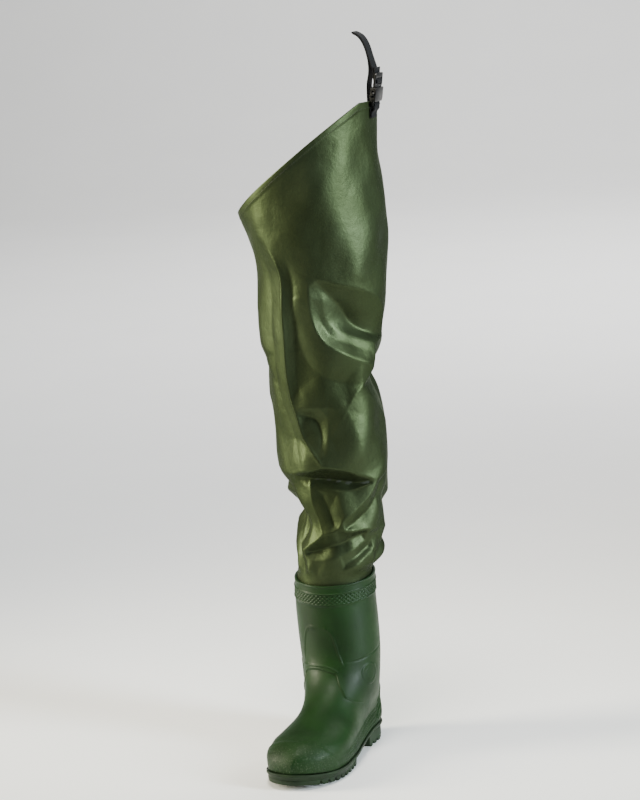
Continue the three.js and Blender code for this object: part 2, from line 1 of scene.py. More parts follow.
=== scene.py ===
"""A thigh wader for the left leg, standing empty on its sole: a moulded boot, a coated fabric leg that
is welded into the boot's collar, and a belt strap with a side release buckle. Metres, +Z up, toe
towards -Y, outer side towards +X."""

import math

import bmesh
import bpy
import numpy as np
from mathutils import Matrix, Vector
from mathutils.geometry import delaunay_2d_cdt


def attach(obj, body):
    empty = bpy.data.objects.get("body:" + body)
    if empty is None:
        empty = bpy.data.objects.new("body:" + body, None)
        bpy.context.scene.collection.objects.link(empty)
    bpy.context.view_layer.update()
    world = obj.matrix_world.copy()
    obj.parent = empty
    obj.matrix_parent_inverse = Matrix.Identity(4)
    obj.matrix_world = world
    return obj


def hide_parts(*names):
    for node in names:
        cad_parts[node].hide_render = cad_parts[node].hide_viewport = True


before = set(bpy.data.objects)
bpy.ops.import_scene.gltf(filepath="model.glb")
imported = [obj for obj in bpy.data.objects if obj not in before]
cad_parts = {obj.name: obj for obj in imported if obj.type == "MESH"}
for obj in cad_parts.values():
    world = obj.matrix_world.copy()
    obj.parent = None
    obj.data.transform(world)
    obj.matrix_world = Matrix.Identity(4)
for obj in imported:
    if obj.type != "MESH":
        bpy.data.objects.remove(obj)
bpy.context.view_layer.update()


# Camera. It stands in front of the wader and to its outer side, a little above the mouth of the
# leg, looks down by some 12 degrees, and is rolled by 3 degrees as in the photograph.
camera_round = math.radians(24.571)
camera_away = 3.7934
camera_up = 1.3536
camera_pan = math.radians(-0.18)
camera_tilt = math.radians(11.57)
camera_roll = math.radians(-3.225)
camera_lens = 113.8

eye = Vector((math.sin(camera_round) * camera_away, -math.cos(camera_round) * camera_away - 0.1, camera_up))
heading = camera_round + camera_pan
ahead = Vector((
    -math.sin(heading) * math.cos(camera_tilt),
    math.cos(heading) * math.cos(camera_tilt),
    -math.sin(camera_tilt),
))
level = Vector((math.cos(heading), math.sin(heading), 0))
upright = level.cross(ahead)
right = level * math.cos(camera_roll) + upright * math.sin(camera_roll)
upwards = upright * math.cos(camera_roll) - level * math.sin(camera_roll)
bpy.ops.object.camera_add(location=eye)
camera = bpy.context.object
camera.name = "camera"
camera.matrix_world = Matrix((
    (right.x, upwards.x, -ahead.x, eye.x),
    (right.y, upwards.y, -ahead.y, eye.y),
    (right.z, upwards.z, -ahead.z, eye.z),
    (0, 0, 0, 1),
))
camera.data.lens = camera_lens
camera.data.sensor_width = 36
camera.data.clip_end = 60
bpy.context.scene.camera = camera


# Boot upper. One wall of green PVC, injection moulded round a last, so that its bands, lines, discs
# and ribs are all cut in the mould. Its skin is smooth with a low gloss, and rough on the toe cap.
sole_length = 0.296
ball_width = 0.110
boot_height = 0.280
boot_wall = 0.003
heel_height = 0.030
ball_height = 0.018
toe_spring = 0.009
heel_back = 0.040
gap = 0.0003

band_depth = 0.013
knurl_depth = 0.017
band_step = 0.0011
diamonds_around = 58
line_rise = 0.0013
line_width = 0.0011
quarter_step = 0.0016
ankle_radius = 0.0175
ankle_place = (-0.043, 0.127)
ankle_step = 0.0009
cap_step = 0.0011
cap_back = -0.197
cap_lean = 0.62
cap_up = 0.039
rib_pitch = 0.0098
rib_rise = 0.62
rib_step = 0.0019
rib_count = 5.2
spur_reach = 0.0045
spur_height = 0.071
bead_down = 0.0014
bead_rise = 0.0007
border_rise = 0.0017
knurl_slant = 2.6
knurl_base = 0.0006
knurl_rise = 0.0011
studs_along = 185
studs_lean = 90
studs_up = 150
stud_rise = 0.0013
stud_reach = 0.034

# The sole's outline: half widths as shares of the ball width, from the heel's back to the toe's tip.
sole_outline = {
    "outer": (0.355, 0.365, 0.365, 0.375, 0.4, 0.445, 0.49, 0.515, 0.5, 0.46, 0.41),
    "inner": (0.355, 0.36, 0.335, 0.3, 0.31, 0.385, 0.46, 0.5, 0.515, 0.51, 0.5),
    "shift": (0, 0, 0, 0, 0, 0, -0.01, -0.02, -0.04, -0.06, -0.08),
}
sole_top = {
    "up": (1, 1, 0.93, 0.6, 0.2, 0.02, 0, 0, 0, 0, 0),
    "spring": (0, 0, 0, 0, 0, 0, 0, 0.02, 0.18, 0.52, 1),
}

# The boot's sections, from the rim down to the sole, as in the part's own source.
boot_sections = {
    "back_out": (
        0.182, 0.177, 0.17, 0.16, 0.148, 0.144, 0.152, 0.163, 0.167, 0.164, 0.156, 0.148, 0.14, 0.125,
    ),
    "back_up": (
        1.018, 0.868, 0.722, 0.578, 0.45, 0.35, 0.28, 0.232, 0.198, 0.172, 0.152, 0.136, 0.122, 0.108,
    ),
    "front_out": (
        0.252, 0.26, 0.266, 0.274, 0.292, 0.336, 0.402, 0.482, 0.573, 0.672, 0.762, 0.824, 0.853, 0.855,
    ),
    "front_up": (
        0.975, 0.845, 0.712, 0.585, 0.492, 0.43, 0.378, 0.334, 0.296, 0.264, 0.234, 0.193, 0.145, 0.097,
    ),
    "half": (0.57, 0.583, 0.588, 0.58, 0.556, 0.527, 0.51, 0.495, 0.491, 0.495, 0.5, 0.503, 0.497, 0.48),
    "aside": (
        -0.168, -0.168, -0.145, -0.118, -0.095, -0.073, -0.055, -0.041, -0.027, -0.014, -0.005, 0, 0, 0,
    ),
    "foot": (0, 0, 0, 0, 0, 0, 0.12, 0.35, 0.65, 0.9, 1, 1, 1, 1),
    "close": (2, 2, 2, 2, 2, 2, 2.4, 3, 4, 6, 10, 22, 60, 90),
}

# Raised lines of the upper, each from the inner side over the front to the outer side: the turn in
# degrees from the back over the outer side, and the height as a share of the boot's height.
shin_panel = (
    (221, 0.52), (217, 0.6), (212, 0.675), (206, 0.717), (197, 0.733), (180, 0.738), (172, 0.726),
    (166, 0.7), (163, 0.655), (160, 0.6), (156, 0.55), (154, 0.52),
)
vamp_edge = (
    (268, 0.29), (258, 0.325), (246, 0.35), (235, 0.39), (225, 0.43), (219, 0.472), (209, 0.492),
    (194, 0.503), (180, 0.498), (168, 0.485), (162, 0.472), (156, 0.428), (148, 0.394), (140, 0.365),
    (128, 0.342), (112, 0.318), (101, 0.302),
)
vamp_line = (
    (232, 0.495), (224, 0.508), (210, 0.514), (184, 0.52), (171, 0.51), (164, 0.494), (160, 0.486),
)
quarter_line = (
    (151, 0.538), (140, 0.54), (131, 0.542), (116, 0.552), (90, 0.574), (60, 0.6), (30, 0.616), (0, 0.62),
    (-30, 0.616), (-60, 0.598), (-88, 0.572), (-112, 0.55), (-126, 0.542), (-138, 0.538),
)


def smooth(value):
    """A soft step from 0 to 1 as the value goes from 0 to 1."""
    held = np.clip(value, 0, 1)
    return held * held * (3 - 2 * held)


def column(values, place):
    """Reads a column of a table at a place from 0 to 1, as a smooth curve through its rows."""
    values = np.asarray(values, float)
    spot = np.clip(place, 0, 1) * (len(values) - 1)
    row = np.minimum(len(values) - 2, np.floor(spot)).astype(int)
    f = spot - row
    a = values[np.maximum(row - 1, 0)]
    b = values[row]
    c = values[row + 1]
    d = values[np.minimum(row + 2, len(values) - 1)]
    return b + 0.5 * f * (c - a + f * (2 * a - 5 * b + 4 * c - d + f * (3 * (b - c) + d - a)))


def outline_half(share, side):
    """Half width of the foot's outline at a share of its length, on the outer (+1) or inner (-1) side."""
    share = np.clip(share, 0, 1)
    heel = np.sqrt(np.maximum(0, 1 - np.maximum(0, 1 - share / 0.13) ** 2))
    toe = np.maximum(0, 1 - (np.maximum(0, share - 0.74) / 0.26) ** 2.3) ** (1 / 2.3)
    half = np.where(side > 0, column(sole_outline["outer"], share), column(sole_outline["inner"], share))
    return (side * half * heel * toe + column(sole_outline["shift"], share)) * ball_width


def spring_at(y):
    """How far the toe's end of the sole springs up."""
    return toe_spring * np.maximum(0, column(sole_top["spring"], (heel_back - y) / sole_length))


def sole_top_at(y):
    """Height of the sole's top."""
    raised = column(sole_top["up"], (heel_back - y) / sole_length)
    return ball_height + (heel_height - ball_height) * raised + spring_at(y)


def boot_point(around, down):
    """A point of the boot's outer face: around from 0 at the back over the outer side, down from its rim."""
    around, down = np.broadcast_arrays(around, down)
    side = np.where(around < 0.5, 1, -1)
    s = (1 - np.cos(2 * np.pi * around)) / 2
    back = column(boot_sections["back_out"], down) * sole_length
    front = -column(boot_sections["front_out"], down) * sole_length
    toe_tip = -boot_sections["front_out"][-1] * sole_length
    y = back + (front - back) * s
    half = column(boot_sections["half"], down)
    oval = side * half * ball_width * np.sqrt(np.maximum(0, 1 - (2 * s - 1) ** 2))
    foot = outline_half((back - y) / (back - np.minimum(toe_tip, front)), side)
    closed = np.sqrt(np.maximum(0, 1 - s ** column(boot_sections["close"], down)))
    footed = np.clip(column(boot_sections["foot"], down), 0, 1)
    x = oval + (foot * half * closed / 0.5 - oval) * footed
    back_up = column(boot_sections["back_up"], down)
    front_up = column(boot_sections["front_up"], down)
    straight = (back_up + (front_up - back_up) * s) * boot_height
    ends = sole_top_at(back) + (sole_top_at(front) - sole_top_at(back)) * s
    low = smooth((down - 0.5) / 0.5)
    z = straight + low * (sole_top_at(y) - ends) * (1 - (2 * s - 1) ** 8)
    return np.stack([x + column(boot_sections["aside"], down) * ball_width, y, z], -1)


def outwards(surface, around, down):
    """The surface's own outward direction at those places."""
    step = 1e-3
    across = surface((around + step) % 1, down) - surface((around + 1 - step) % 1, down)
    along = surface(around, np.minimum(1, down + step)) - surface(around, np.maximum(0, down - step))
    way = np.cross(across, along)
    return way / (np.linalg.norm(way, axis=-1, keepdims=True) + 1e-12)


def closed_wall(name, rings):
    """A closed wall from rings of points: a grid rolled up both ways, with its seams merged."""
    rows, around = rings.shape[:2]
    bpy.ops.object.select_all(action="DESELECT")
    bpy.ops.mesh.primitive_grid_add(x_subdivisions=around, y_subdivisions=rows, size=2)
    piece = bpy.context.object
    piece.name = name
    flat = np.empty(len(piece.data.vertices) * 3, np.float32)
    piece.data.vertices.foreach_get("co", flat)
    flat = flat.reshape(-1, 3)
    turn = np.rint((flat[:, 0] + 1) / 2 * around).astype(int) % around
    row = np.rint((flat[:, 1] + 1) / 2 * rows).astype(int) % rows
    shape_points(piece, rings[row, turn])
    bpy.ops.object.mode_set(mode="EDIT")
    bpy.ops.mesh.select_all(action="SELECT")
    bpy.ops.mesh.remove_doubles(threshold=1e-7)
    bpy.ops.object.mode_set(mode="OBJECT")
    piece.data.shade_smooth()
    return piece


def shape_points(piece, places):
    """Moves a primitive's points to their places, smooths it and turns its faces outwards."""
    mesh = piece.data
    mesh.vertices.foreach_set("co", np.ascontiguousarray(places, np.float32).reshape(-1))
    mesh.update()
    shape = bmesh.new()
    shape.from_mesh(mesh)
    if shape.calc_volume(signed=True) < 0:
        bmesh.ops.reverse_faces(shape, faces=shape.faces)
    shape.to_mesh(mesh)
    shape.free()
    mesh.shade_smooth()
    mesh.update()


def nearest(points, line):
    """Distance from each point to a line of points, and the share of the line where it is nearest."""
    best = np.full(points.shape[:-1], 1e9)
    place = np.zeros(points.shape[:-1])
    count = len(line) - 1
    for i in range(count):
        start = line[i]
        way = line[i + 1] - start
        held = np.clip(((points - start) @ way) / (way @ way + 1e-18), 0, 1)
        far = np.linalg.norm(points - start - held[..., None] * way, axis=-1)
        closer = far < best
        best = np.where(closer, far, best)
        place = np.where(closer, (i + held) / count, place)
    return best, place


def on_boot(line, steps):
    """A line of (turn, height share) pairs as points on the boot's outer face."""
    spots = np.linspace(0, 1, steps)
    table = np.array(line)
    turns = column(table[:, 0], spots) / 360 % 1
    heights = column(table[:, 1], spots) * boot_height
    downs = np.linspace(0, 1, 700)
    points = []
    for turn, height in zip(turns, heights):
        ring = boot_point(np.full(700, turn), downs)
        down = np.interp(-height, -ring[:, 2], downs)
        points.append(boot_point(np.array(turn), np.array(down)))
    return np.array(points)


def ridge(distance, width):
    """A soft rounded ridge, one at its middle."""
    return np.exp(-(distance / width) ** 2)


def above(points, line):
    """Soft 1 over a line and 0 under it, by height, with the line read at each point's own turn."""
    middle = np.array((-0.008, -0.02))
    turn = np.arctan2(points[..., 0] - middle[0], points[..., 1] - middle[1]) % (2 * np.pi)
    at = np.arctan2(line[:, 0] - middle[0], line[:, 1] - middle[1]) % (2 * np.pi)
    order = np.argsort(at)
    edge = np.interp(turn, at[order], line[order, 2])
    inside = smooth((turn - at.min()) / 0.6) * smooth((at.max() - turn) / 0.6)
    return smooth((points[..., 2] - edge) / line_width + 0.5) * inside


def boot_relief(around, point):
    """How far the moulded forms stand out of the boot's plain skin."""
    x, y, z = point[..., 0], point[..., 1], point[..., 2]
    rim_back = boot_sections["back_out"][0] * sole_length
    rim_front = -boot_sections["front_out"][0] * sole_length
    slope = (boot_sections["front_up"][0] - boot_sections["back_up"][0]) * boot_height
    rim = boot_sections["back_up"][0] * boot_height + slope * (rim_back - y) / (rim_back - rim_front)
    drop = rim - z
    knurl_end = band_depth + knurl_depth
    rise = band_step * smooth((band_depth + 0.0006 - drop) / 0.0012)
    rise = rise + bead_rise * ridge(drop - bead_down, 0.0013)
    in_knurl = smooth((drop - band_depth) / 0.001) * smooth((knurl_end - drop) / 0.001)
    slant = (drop - band_depth) / knurl_depth * knurl_slant
    first = np.abs(((around * diamonds_around + slant) % 1) - 0.5) * 2
    second = np.abs(((around * diamonds_around - slant) % 1) - 0.5) * 2
    rise = rise + in_knurl * (knurl_base + knurl_rise * smooth(1.25 * np.minimum(first, second)))
    rise = rise + border_rise * (ridge(drop - band_depth, 0.0009) + ridge(drop - knurl_end, 0.0009))
    for line, height, width in (
        (shin_panel, line_rise, line_width),
        (vamp_line, line_rise * 0.9, line_width),
        (vamp_edge, line_rise * 0.6, line_width),
        (quarter_line, -line_rise * 0.7, line_width * 0.9),
    ):
        far, place = nearest(point, on_boot(line, 70))
        ends = smooth(place / 0.08) * smooth((1 - place) / 0.08)
        rise = rise + height * ridge(far, width) * ends
    edge = on_boot(vamp_edge, 70)
    rise = rise + quarter_step * above(point, edge) * smooth((0.16 - z) / 0.02)
    middle = np.hypot(y - ankle_place[0], z - ankle_place[1])
    rise = rise + ankle_step * smooth((ankle_radius - middle) / 0.0012)
    rise = rise - 0.0004 * ridge(middle - ankle_radius * 0.62, 0.001)
    ahead_of_cap = (cap_back - y) * math.cos(cap_lean) - (z - cap_up) * math.sin(cap_lean)
    rise = rise + cap_step * smooth(ahead_of_cap / 0.0022)
    run = (z - heel_height - 0.008 - (y - 0.004) * rib_rise) / rib_pitch
    wave = smooth(1.7 * (0.5 - np.abs(run % 1 - 0.3))) * smooth(run + 0.15) * smooth(rib_count - run)
    rise = rise + rib_step * wave * smooth((y + 0.02 - run * 0.005) / 0.004)
    rise = rise + spur_reach * ridge(z - spur_height, 0.0052) * smooth((y - 0.026) / 0.014)
    above_welt = z - sole_top_at(y)
    reach = stud_reach - 0.1 * np.maximum(0, -0.09 - y)
    rough = smooth((reach - above_welt) / 0.008) * smooth((0.004 - y) / 0.02) * smooth((y + 0.2) / 0.05)
    teeth = np.abs(((y * studs_along + above_welt * studs_lean) % 1) - 0.5) * 2
    courses = np.abs(((above_welt * studs_up) % 1) - 0.5) * 2
    studs = smooth(teeth * 1.5) * smooth(courses * 2.2)
    rise = rise + stud_rise * rough * studs * smooth((above_welt - 0.004) / 0.003)
    return rise


def boot_rows():
    """Rows of the boot's grid: close together at the collar and round the ankle, where the relief is."""
    parts = (
        np.linspace(0, 0.066, 52, endpoint=False),
        np.linspace(0.066, 0.23, 26, endpoint=False),
        np.linspace(0.23, 0.52, 84, endpoint=False),
        np.linspace(0.52, 1, 58),
    )
    return np.concatenate(parts)


boot_around = 384
turns = np.arange(boot_around)[None, :] / boot_around
downs = boot_rows()[:, None]
plain = boot_point(turns, downs)
ways = outwards(boot_point, turns, downs + 0 * turns)
skin = plain + ways * boot_relief(turns, plain)[..., None]
inner_downs = boot_rows()[::9][:, None]
inside = boot_point(turns, inner_downs) - outwards(boot_point, turns, inner_downs + 0 * turns) * boot_wall
upper = closed_wall("moulded_upper", np.concatenate([skin, inside[::-1]]))


def linear(code):
    """A colour from its screen code, as linear light."""
    shares = [int(code[i:i + 2], 16) / 255 for i in (0, 2, 4)]
    return tuple(s / 12.92 if s < 0.04045 else ((s + 0.055) / 1.055) ** 2.4 for s in shares) + (1,)


def feed(made, target, **inputs):
    """Links outputs to a node's sockets, or sets their values. A socket goes by its name, with _ for a
    space, or by i and its number."""
    for name, value in inputs.items():
        key = int(name[1:]) if name[0] == "i" and name[1:].isdigit() else name.replace("_", " ")
        socket = target.inputs[key]
        if isinstance(value, bpy.types.NodeSocket):
            made.node_tree.links.new(value, socket)
        else:
            socket.default_value = value


def node(made, kind, settings=None, output=0, **inputs):
    """Adds a node to a material with its settings and inputs, and gives back one of its outputs."""
    new = made.node_tree.nodes.new(kind)
    for name, value in (settings or {}).items():
        setattr(new, name, value)
    feed(made, new, **inputs)
    return new.outputs[output]


def new_material(name):
    """An empty node material with its shader, and the output of the object's own coordinates."""
    made = bpy.data.materials.new(name)
    made.use_nodes = True
    shader = made.node_tree.nodes["Principled BSDF"]
    return made, shader, node(made, "ShaderNodeTexCoord", output="Object")


def dress(piece, *materials):
    """Gives a piece its materials."""
    piece.data.materials.clear()
    for made in materials:
        piece.data.materials.append(made)


as_colour = {"data_type": "RGBA"}
as_product = {"operation": "MULTIPLY"}

# Moulded PVC: an even green with a soft cloudiness some 70 mm across, a low gloss broken by a mould
# grain of 1 mm, and on the toe cap coarse bumps of 1.6 mm and pale scuffs where the skin was rubbed.
pvc, pvc_shader, place = new_material("moulded PVC, semi-gloss")
cloud = node(pvc, "ShaderNodeTexNoise", Vector=place, Scale=14, Detail=3, Roughness=0.55)
clouded = node(pvc, "ShaderNodeMapRange", Value=cloud, From_Min=0.35, From_Max=0.65)
pvc_green = node(pvc, "ShaderNodeMix", as_colour, 2, i0=clouded, i6=linear("0d2109"), i7=linear("132c0e"))
toe_way = node(pvc, "ShaderNodeSeparateXYZ", output=1, Vector=place)
height_way = node(pvc, "ShaderNodeSeparateXYZ", output=2, Vector=place)
toe_area = node(pvc, "ShaderNodeMapRange", Value=toe_way, From_Min=-0.19, From_Max=-0.215)
low_area = node(pvc, "ShaderNodeMapRange", Value=height_way, From_Min=0.075, From_Max=0.055)
cap_area = node(pvc, "ShaderNodeMath", as_product, i0=toe_area, i1=low_area)
rubbed = node(pvc, "ShaderNodeTexNoise", Vector=place, Scale=420, Detail=6, Roughness=0.7)
scuff = node(pvc, "ShaderNodeMapRange", Value=rubbed, From_Min=0.54, From_Max=0.68)
scuffed = node(pvc, "ShaderNodeMath", as_product, i0=scuff, i1=cap_area)
faint = node(pvc, "ShaderNodeMath", as_product, i0=scuffed, i1=0.16)
pvc_colour = node(pvc, "ShaderNodeMix", as_colour, 2, i0=faint, i6=pvc_green, i7=linear("8f9c83"))
skin_grain = node(pvc, "ShaderNodeTexNoise", Vector=place, Scale=950, Detail=2, Roughness=0.55)
cap_grain = node(pvc, "ShaderNodeTexVoronoi", Vector=place, Scale=620)
cap_bumps = node(pvc, "ShaderNodeMath", as_product, i0=cap_grain, i1=cap_area)
fine = node(pvc, "ShaderNodeBump", Height=skin_grain, Strength=0.12, Distance=0.0004)
rough_cap = node(pvc, "ShaderNodeBump", Height=cap_bumps, Normal=fine, Strength=0.5, Distance=0.0008)
gloss = node(pvc, "ShaderNodeTexNoise", Vector=place, Scale=60, Detail=3, Roughness=0.55)
gloss = node(pvc, "ShaderNodeMapRange", Value=gloss, From_Min=0.3, From_Max=0.7, To_Min=0.42, To_Max=0.56)
feed(pvc, pvc_shader, Base_Color=pvc_colour, Normal=rough_cap, Roughness=gloss, IOR=1.45,
     Specular_IOR_Level=0.17, Coat_Weight=0.02, Coat_Roughness=0.3)
dress(upper, pvc)
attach(upper, "root")
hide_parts("boot_upper")


# Outsole. A separate moulding in a harder PVC, cemented and welded under the upper, with a rounded
# welt lip, a raised heel, a thin waist and saw-tooth cleats across the ball and the heel.
cleat_depth = 0.006
waist_rise = 0.015
lip_height = 0.0045
lip_out = 0.0014
side_taper = 0.0015
heel_front = -0.040
cleat_pitch = 0.0135
cleat_length = 0.0125
cleat_front = -0.218
cleat_count = 8
heel_cleat_pitch = 0.016
heel_cleat_count = 5
heel_seat = 0.021
cleat_seat = 0.002
sole_around = 192
sole_under = (1, 1, 1, 1, 0.72, 0.3, 0.06, 0, 0, 0, 0)


def sole_under_at(y):
    """Height of the tread body's underside."""
    rise = np.maximum(0, column(sole_under, (heel_back - y) / sole_length))
    return cleat_depth + waist_rise * rise + spring_at(y)


def sole_ring(outset, height):
    """A ring of the sole's outline, moved out by a length, at a height that may follow the sole."""
    around = np.arange(sole_around) / sole_around
    side = np.where(around < 0.5, 1, -1)
    s = (1 - np.cos(2 * np.pi * around)) / 2
    y = heel_back - sole_length * s
    flat = np.stack([outline_half(s, side), y], -1)
    middle = np.stack([np.zeros(sole_around), np.clip(y, heel_back - sole_length * 0.8, 0)], -1)
    way = flat - middle
    flat = flat + way / np.linalg.norm(way, axis=-1, keepdims=True) * outset
    z = height(flat[:, 1]) if callable(height) else np.full(sole_around, height)
    return np.concatenate([flat, z[:, None]], -1)


def capped_body(name, rings):
    """A closed body from rings of points, with a fan over each end."""
    rings = np.asarray(rings)
    rows, around = rings.shape[:2]
    bpy.ops.object.select_all(action="DESELECT")
    bpy.ops.mesh.primitive_uv_sphere_add(segments=around, ring_count=rows + 1, radius=1)
    piece = bpy.context.object
    piece.name = name
    ball = np.empty(len(piece.data.vertices) * 3, np.float32)
    piece.data.vertices.foreach_get("co", ball)
    ball = ball.reshape(-1, 3)
    row = np.rint(np.arccos(np.clip(ball[:, 2], -1, 1)) / math.pi * (rows + 1)).astype(int)
    turn = np.rint(np.arctan2(ball[:, 1], ball[:, 0]) / (2 * math.pi) * around).astype(int) % around
    places = rings[np.clip(row - 1, 0, rows - 1), turn]
    places = np.where((row == 0)[:, None], rings[0].mean(0), places)
    places = np.where((row == rows + 1)[:, None], rings[-1].mean(0), places)
    shape_points(piece, places)
    return piece


def cleat_bar(y, length, low, top):
    """One saw-tooth bar across the sole, steep behind and sloped in front, from a cube."""
    bpy.ops.object.select_all(action="DESELECT")
    bpy.ops.mesh.primitive_cube_add(size=1)
    bar = bpy.context.object
    for corner in bar.data.vertices:
        toe_side = corner.co.y < 0
        lower = corner.co.z < 0
        share = (-0.12 if lower else -0.5) if toe_side else (0.42 if lower else 0.5)
        corner.co = (corner.co.x * ball_width * 1.4, y + share * length, low if lower else top)
    return bar


def kept_inside(piece, region):
    """Cuts a piece to what lies inside a region, and removes the region."""
    cut = piece.modifiers.new("cut", "BOOLEAN")
    cut.operation = "INTERSECT"
    cut.solver = "EXACT"
    cut.object = region
    bpy.context.view_layer.objects.active = piece
    bpy.ops.object.modifier_apply(modifier=cut.name)
    bpy.data.objects.remove(region)
    return piece


def sole_prism(outset, low, high, top_outset=None):
    """A block with the sole's outline between two heights."""
    rings = [sole_ring(outset if top_outset is None else top_outset, high), sole_ring(outset, low)]
    return capped_body("region", rings)


def top_drop(drop):
    """The sole's top edge, lowered."""
    return lambda y: sole_top_at(y) - gap - drop


sole_rings = [
    sole_ring(-0.012, top_drop(0)),
    sole_ring(-0.001, top_drop(0)),
    sole_ring(lip_out - 0.0006, top_drop(0)),
    sole_ring(lip_out - 0.0001, top_drop(0.0004)),
    sole_ring(lip_out, top_drop(0.001)),
    sole_ring(lip_out, top_drop(lip_height - 0.0012)),
    sole_ring(lip_out - 0.0003, top_drop(lip_height - 0.0004)),
    sole_ring(0.0002, top_drop(lip_height)),
    sole_ring(-0.0003, top_drop(lip_height + 0.0006)),
    sole_ring(-side_taper * 0.9, lambda y: sole_under_at(y) + 0.0009),
    sole_ring(-side_taper - 0.0008, sole_under_at),
    sole_ring(-0.012, sole_under_at),
]
sole = capped_body("cleated_sole", sole_rings)
heel = capped_body("heel", [
    sole_ring(-side_taper - 0.001, heel_seat + 0.001),
    sole_ring(-side_taper, heel_seat),
    sole_ring(-side_taper, cleat_depth + 0.0008),
    sole_ring(-side_taper - 0.0008, cleat_depth),
])
bpy.ops.object.select_all(action="DESELECT")
bpy.ops.mesh.primitive_cube_add(size=1, location=(0, (heel_front + heel_back + 0.01) / 2, 0.015),
                                scale=(ball_width * 2, heel_back + 0.01 - heel_front, 0.06))
heel = kept_inside(heel, bpy.context.object)
blocks = [heel]
for i in range(heel_cleat_count):
    y = heel_front + heel_cleat_pitch * (i + 0.5)
    bar = cleat_bar(y, heel_cleat_pitch - 0.0012, 0, cleat_depth + cleat_seat)
    blocks.append(kept_inside(bar, sole_prism(-side_taper - 0.0008, 0, heel_height, -side_taper - 0.0002)))
for i in range(cleat_count):
    y = cleat_front + cleat_pitch * i
    low = float(spring_at(np.array(y)))
    bar = cleat_bar(y, cleat_length, low, float(sole_under_at(np.array(y))) + cleat_seat)
    blocks.append(kept_inside(bar, sole_prism(-side_taper, low, low + cleat_depth * 2, -side_taper * 0.6)))
toe_bar = capped_body("toe_bar", [
    sole_ring(-side_taper * 0.5, lambda y: sole_under_at(y) + cleat_seat),
    sole_ring(-side_taper, lambda y: spring_at(y) + 0.0012),
    sole_ring(-side_taper - 0.0008, lambda y: spring_at(y) + 0.0005),
])
bpy.ops.object.select_all(action="DESELECT")
toe_tip = heel_back - sole_length
bar_back = cleat_front - cleat_pitch * 0.62
bpy.ops.mesh.primitive_cube_add(size=1, location=(0, (toe_tip - 0.005 + bar_back) / 2, 0.01),
                                scale=(ball_width * 2, bar_back - toe_tip + 0.005, 0.06))
blocks.append(kept_inside(toe_bar, bpy.context.object))
for block in blocks:
    rounding = block.modifiers.new("rounding", "BEVEL")
    rounding.width = 0.0005
    rounding.segments = 2
    rounding.limit_method = "ANGLE"
    rounding.angle_limit = math.radians(40)
    bpy.context.view_layer.objects.active = block
    bpy.ops.object.modifier_apply(modifier=rounding.name)
bpy.ops.object.select_all(action="DESELECT")
for block in blocks + [sole]:
    block.select_set(True)
bpy.context.view_layer.objects.active = sole
bpy.ops.object.join()
bpy.ops.object.shade_smooth_by_angle(angle=math.radians(35))

# Sole PVC: a shade darker and duller than the upper, with a blasted grain of 0.7 mm and a dry bloom.
tread, tread_shader, place = new_material("moulded sole PVC, matt")
bloom = node(tread, "ShaderNodeTexNoise", Vector=place, Scale=40, Detail=5, Roughness=0.55)
bloomed = node(tread, "ShaderNodeMapRange", Value=bloom, From_Min=0.4, From_Max=0.7)
tread_tone = node(tread, "ShaderNodeMix", as_colour, 2, i0=bloomed, i6=linear("0e1e0a"),
                  i7=linear("1b2d16"))
blasted = node(tread, "ShaderNodeTexNoise", Vector=place, Scale=1400, Detail=2, Roughness=0.55)
tread_bump = node(tread, "ShaderNodeBump", Height=blasted, Strength=0.25, Distance=0.0005)
gloss = node(tread, "ShaderNodeMapRange", Value=bloom, From_Min=0.3, From_Max=0.7, To_Min=0.5, To_Max=0.68)
feed(tread, tread_shader, Base_Color=tread_tone, Normal=tread_bump, Roughness=gloss,
     Specular_IOR_Level=0.22)
dress(sole, tread)
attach(sole, "root")
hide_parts("outsole")


# Insole. A flat felt of grey-green polyester, die cut and dropped into the boot, deep in its shade.
felt, felt_shader, place = new_material("needled polyester felt")
fibres = node(felt, "ShaderNodeTexNoise", Vector=place, Scale=900, Detail=4, Roughness=0.55)
nap = node(felt, "ShaderNodeTexNoise", Vector=place, Scale=2200, Detail=4, Roughness=0.55)
felt_tone = node(felt, "ShaderNodeMix", as_colour, 2, i0=fibres, i6=linear("4a4f42"), i7=linear("6a6f60"))
felt_bump = node(felt, "ShaderNodeBump", Height=nap, Strength=0.5, Distance=0.0006)
feed(felt, felt_shader, Base_Color=felt_tone, Normal=felt_bump, Roughness=0.95)
dress(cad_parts["insole"], felt)


# Leg. A tube of olive nylon cloth with a coating of soft PVC, closed by one welded seam down the
# inner side, hemmed at its slanting mouth and welded inside the boot's collar. It stands slack.
leg_height = 1.025
inseam_height = 0.856
thigh_width = 0.226
leg_wall = 0.001
leg_bottom = boot_height - 0.024
tuck_down = 0.024 / ((1.018 - 0.868) * boot_height) / 13
peak_over = 0.011
peak_turn = math.radians(10)
bulge_rise = 0.026
hem_depth = 0.012
hem_step = 0.0008
stitch_down = 0.0095
seam_around = 0.742
seam_sway = 0.03
seam_half = 0.005
seam_step = 0.0007
seam_foot = 0.285

# The leg's sections at even heights from the tuck to the peak, as shares of the thigh's width.
leg_sections = {
    "aside": (
        -0.062, -0.046, -0.027, -0.055, -0.073, -0.099, -0.105, -0.103, -0.077, -0.098, -0.131, -0.133,
        -0.102,
    ),
    "aback": (
        -0.053, -0.035, -0.022, -0.004, 0.009, 0.013, 0.009, 0, -0.009, -0.022, -0.035, -0.04, -0.044,
    ),
    "wide": (0.248, 0.296, 0.31, 0.363, 0.376, 0.385, 0.405, 0.42, 0.438, 0.491, 0.518, 0.504, 0.482),
    "deep": (0.265, 0.292, 0.305, 0.35, 0.363, 0.381, 0.403, 0.42, 0.434, 0.473, 0.491, 0.491, 0.487),
}

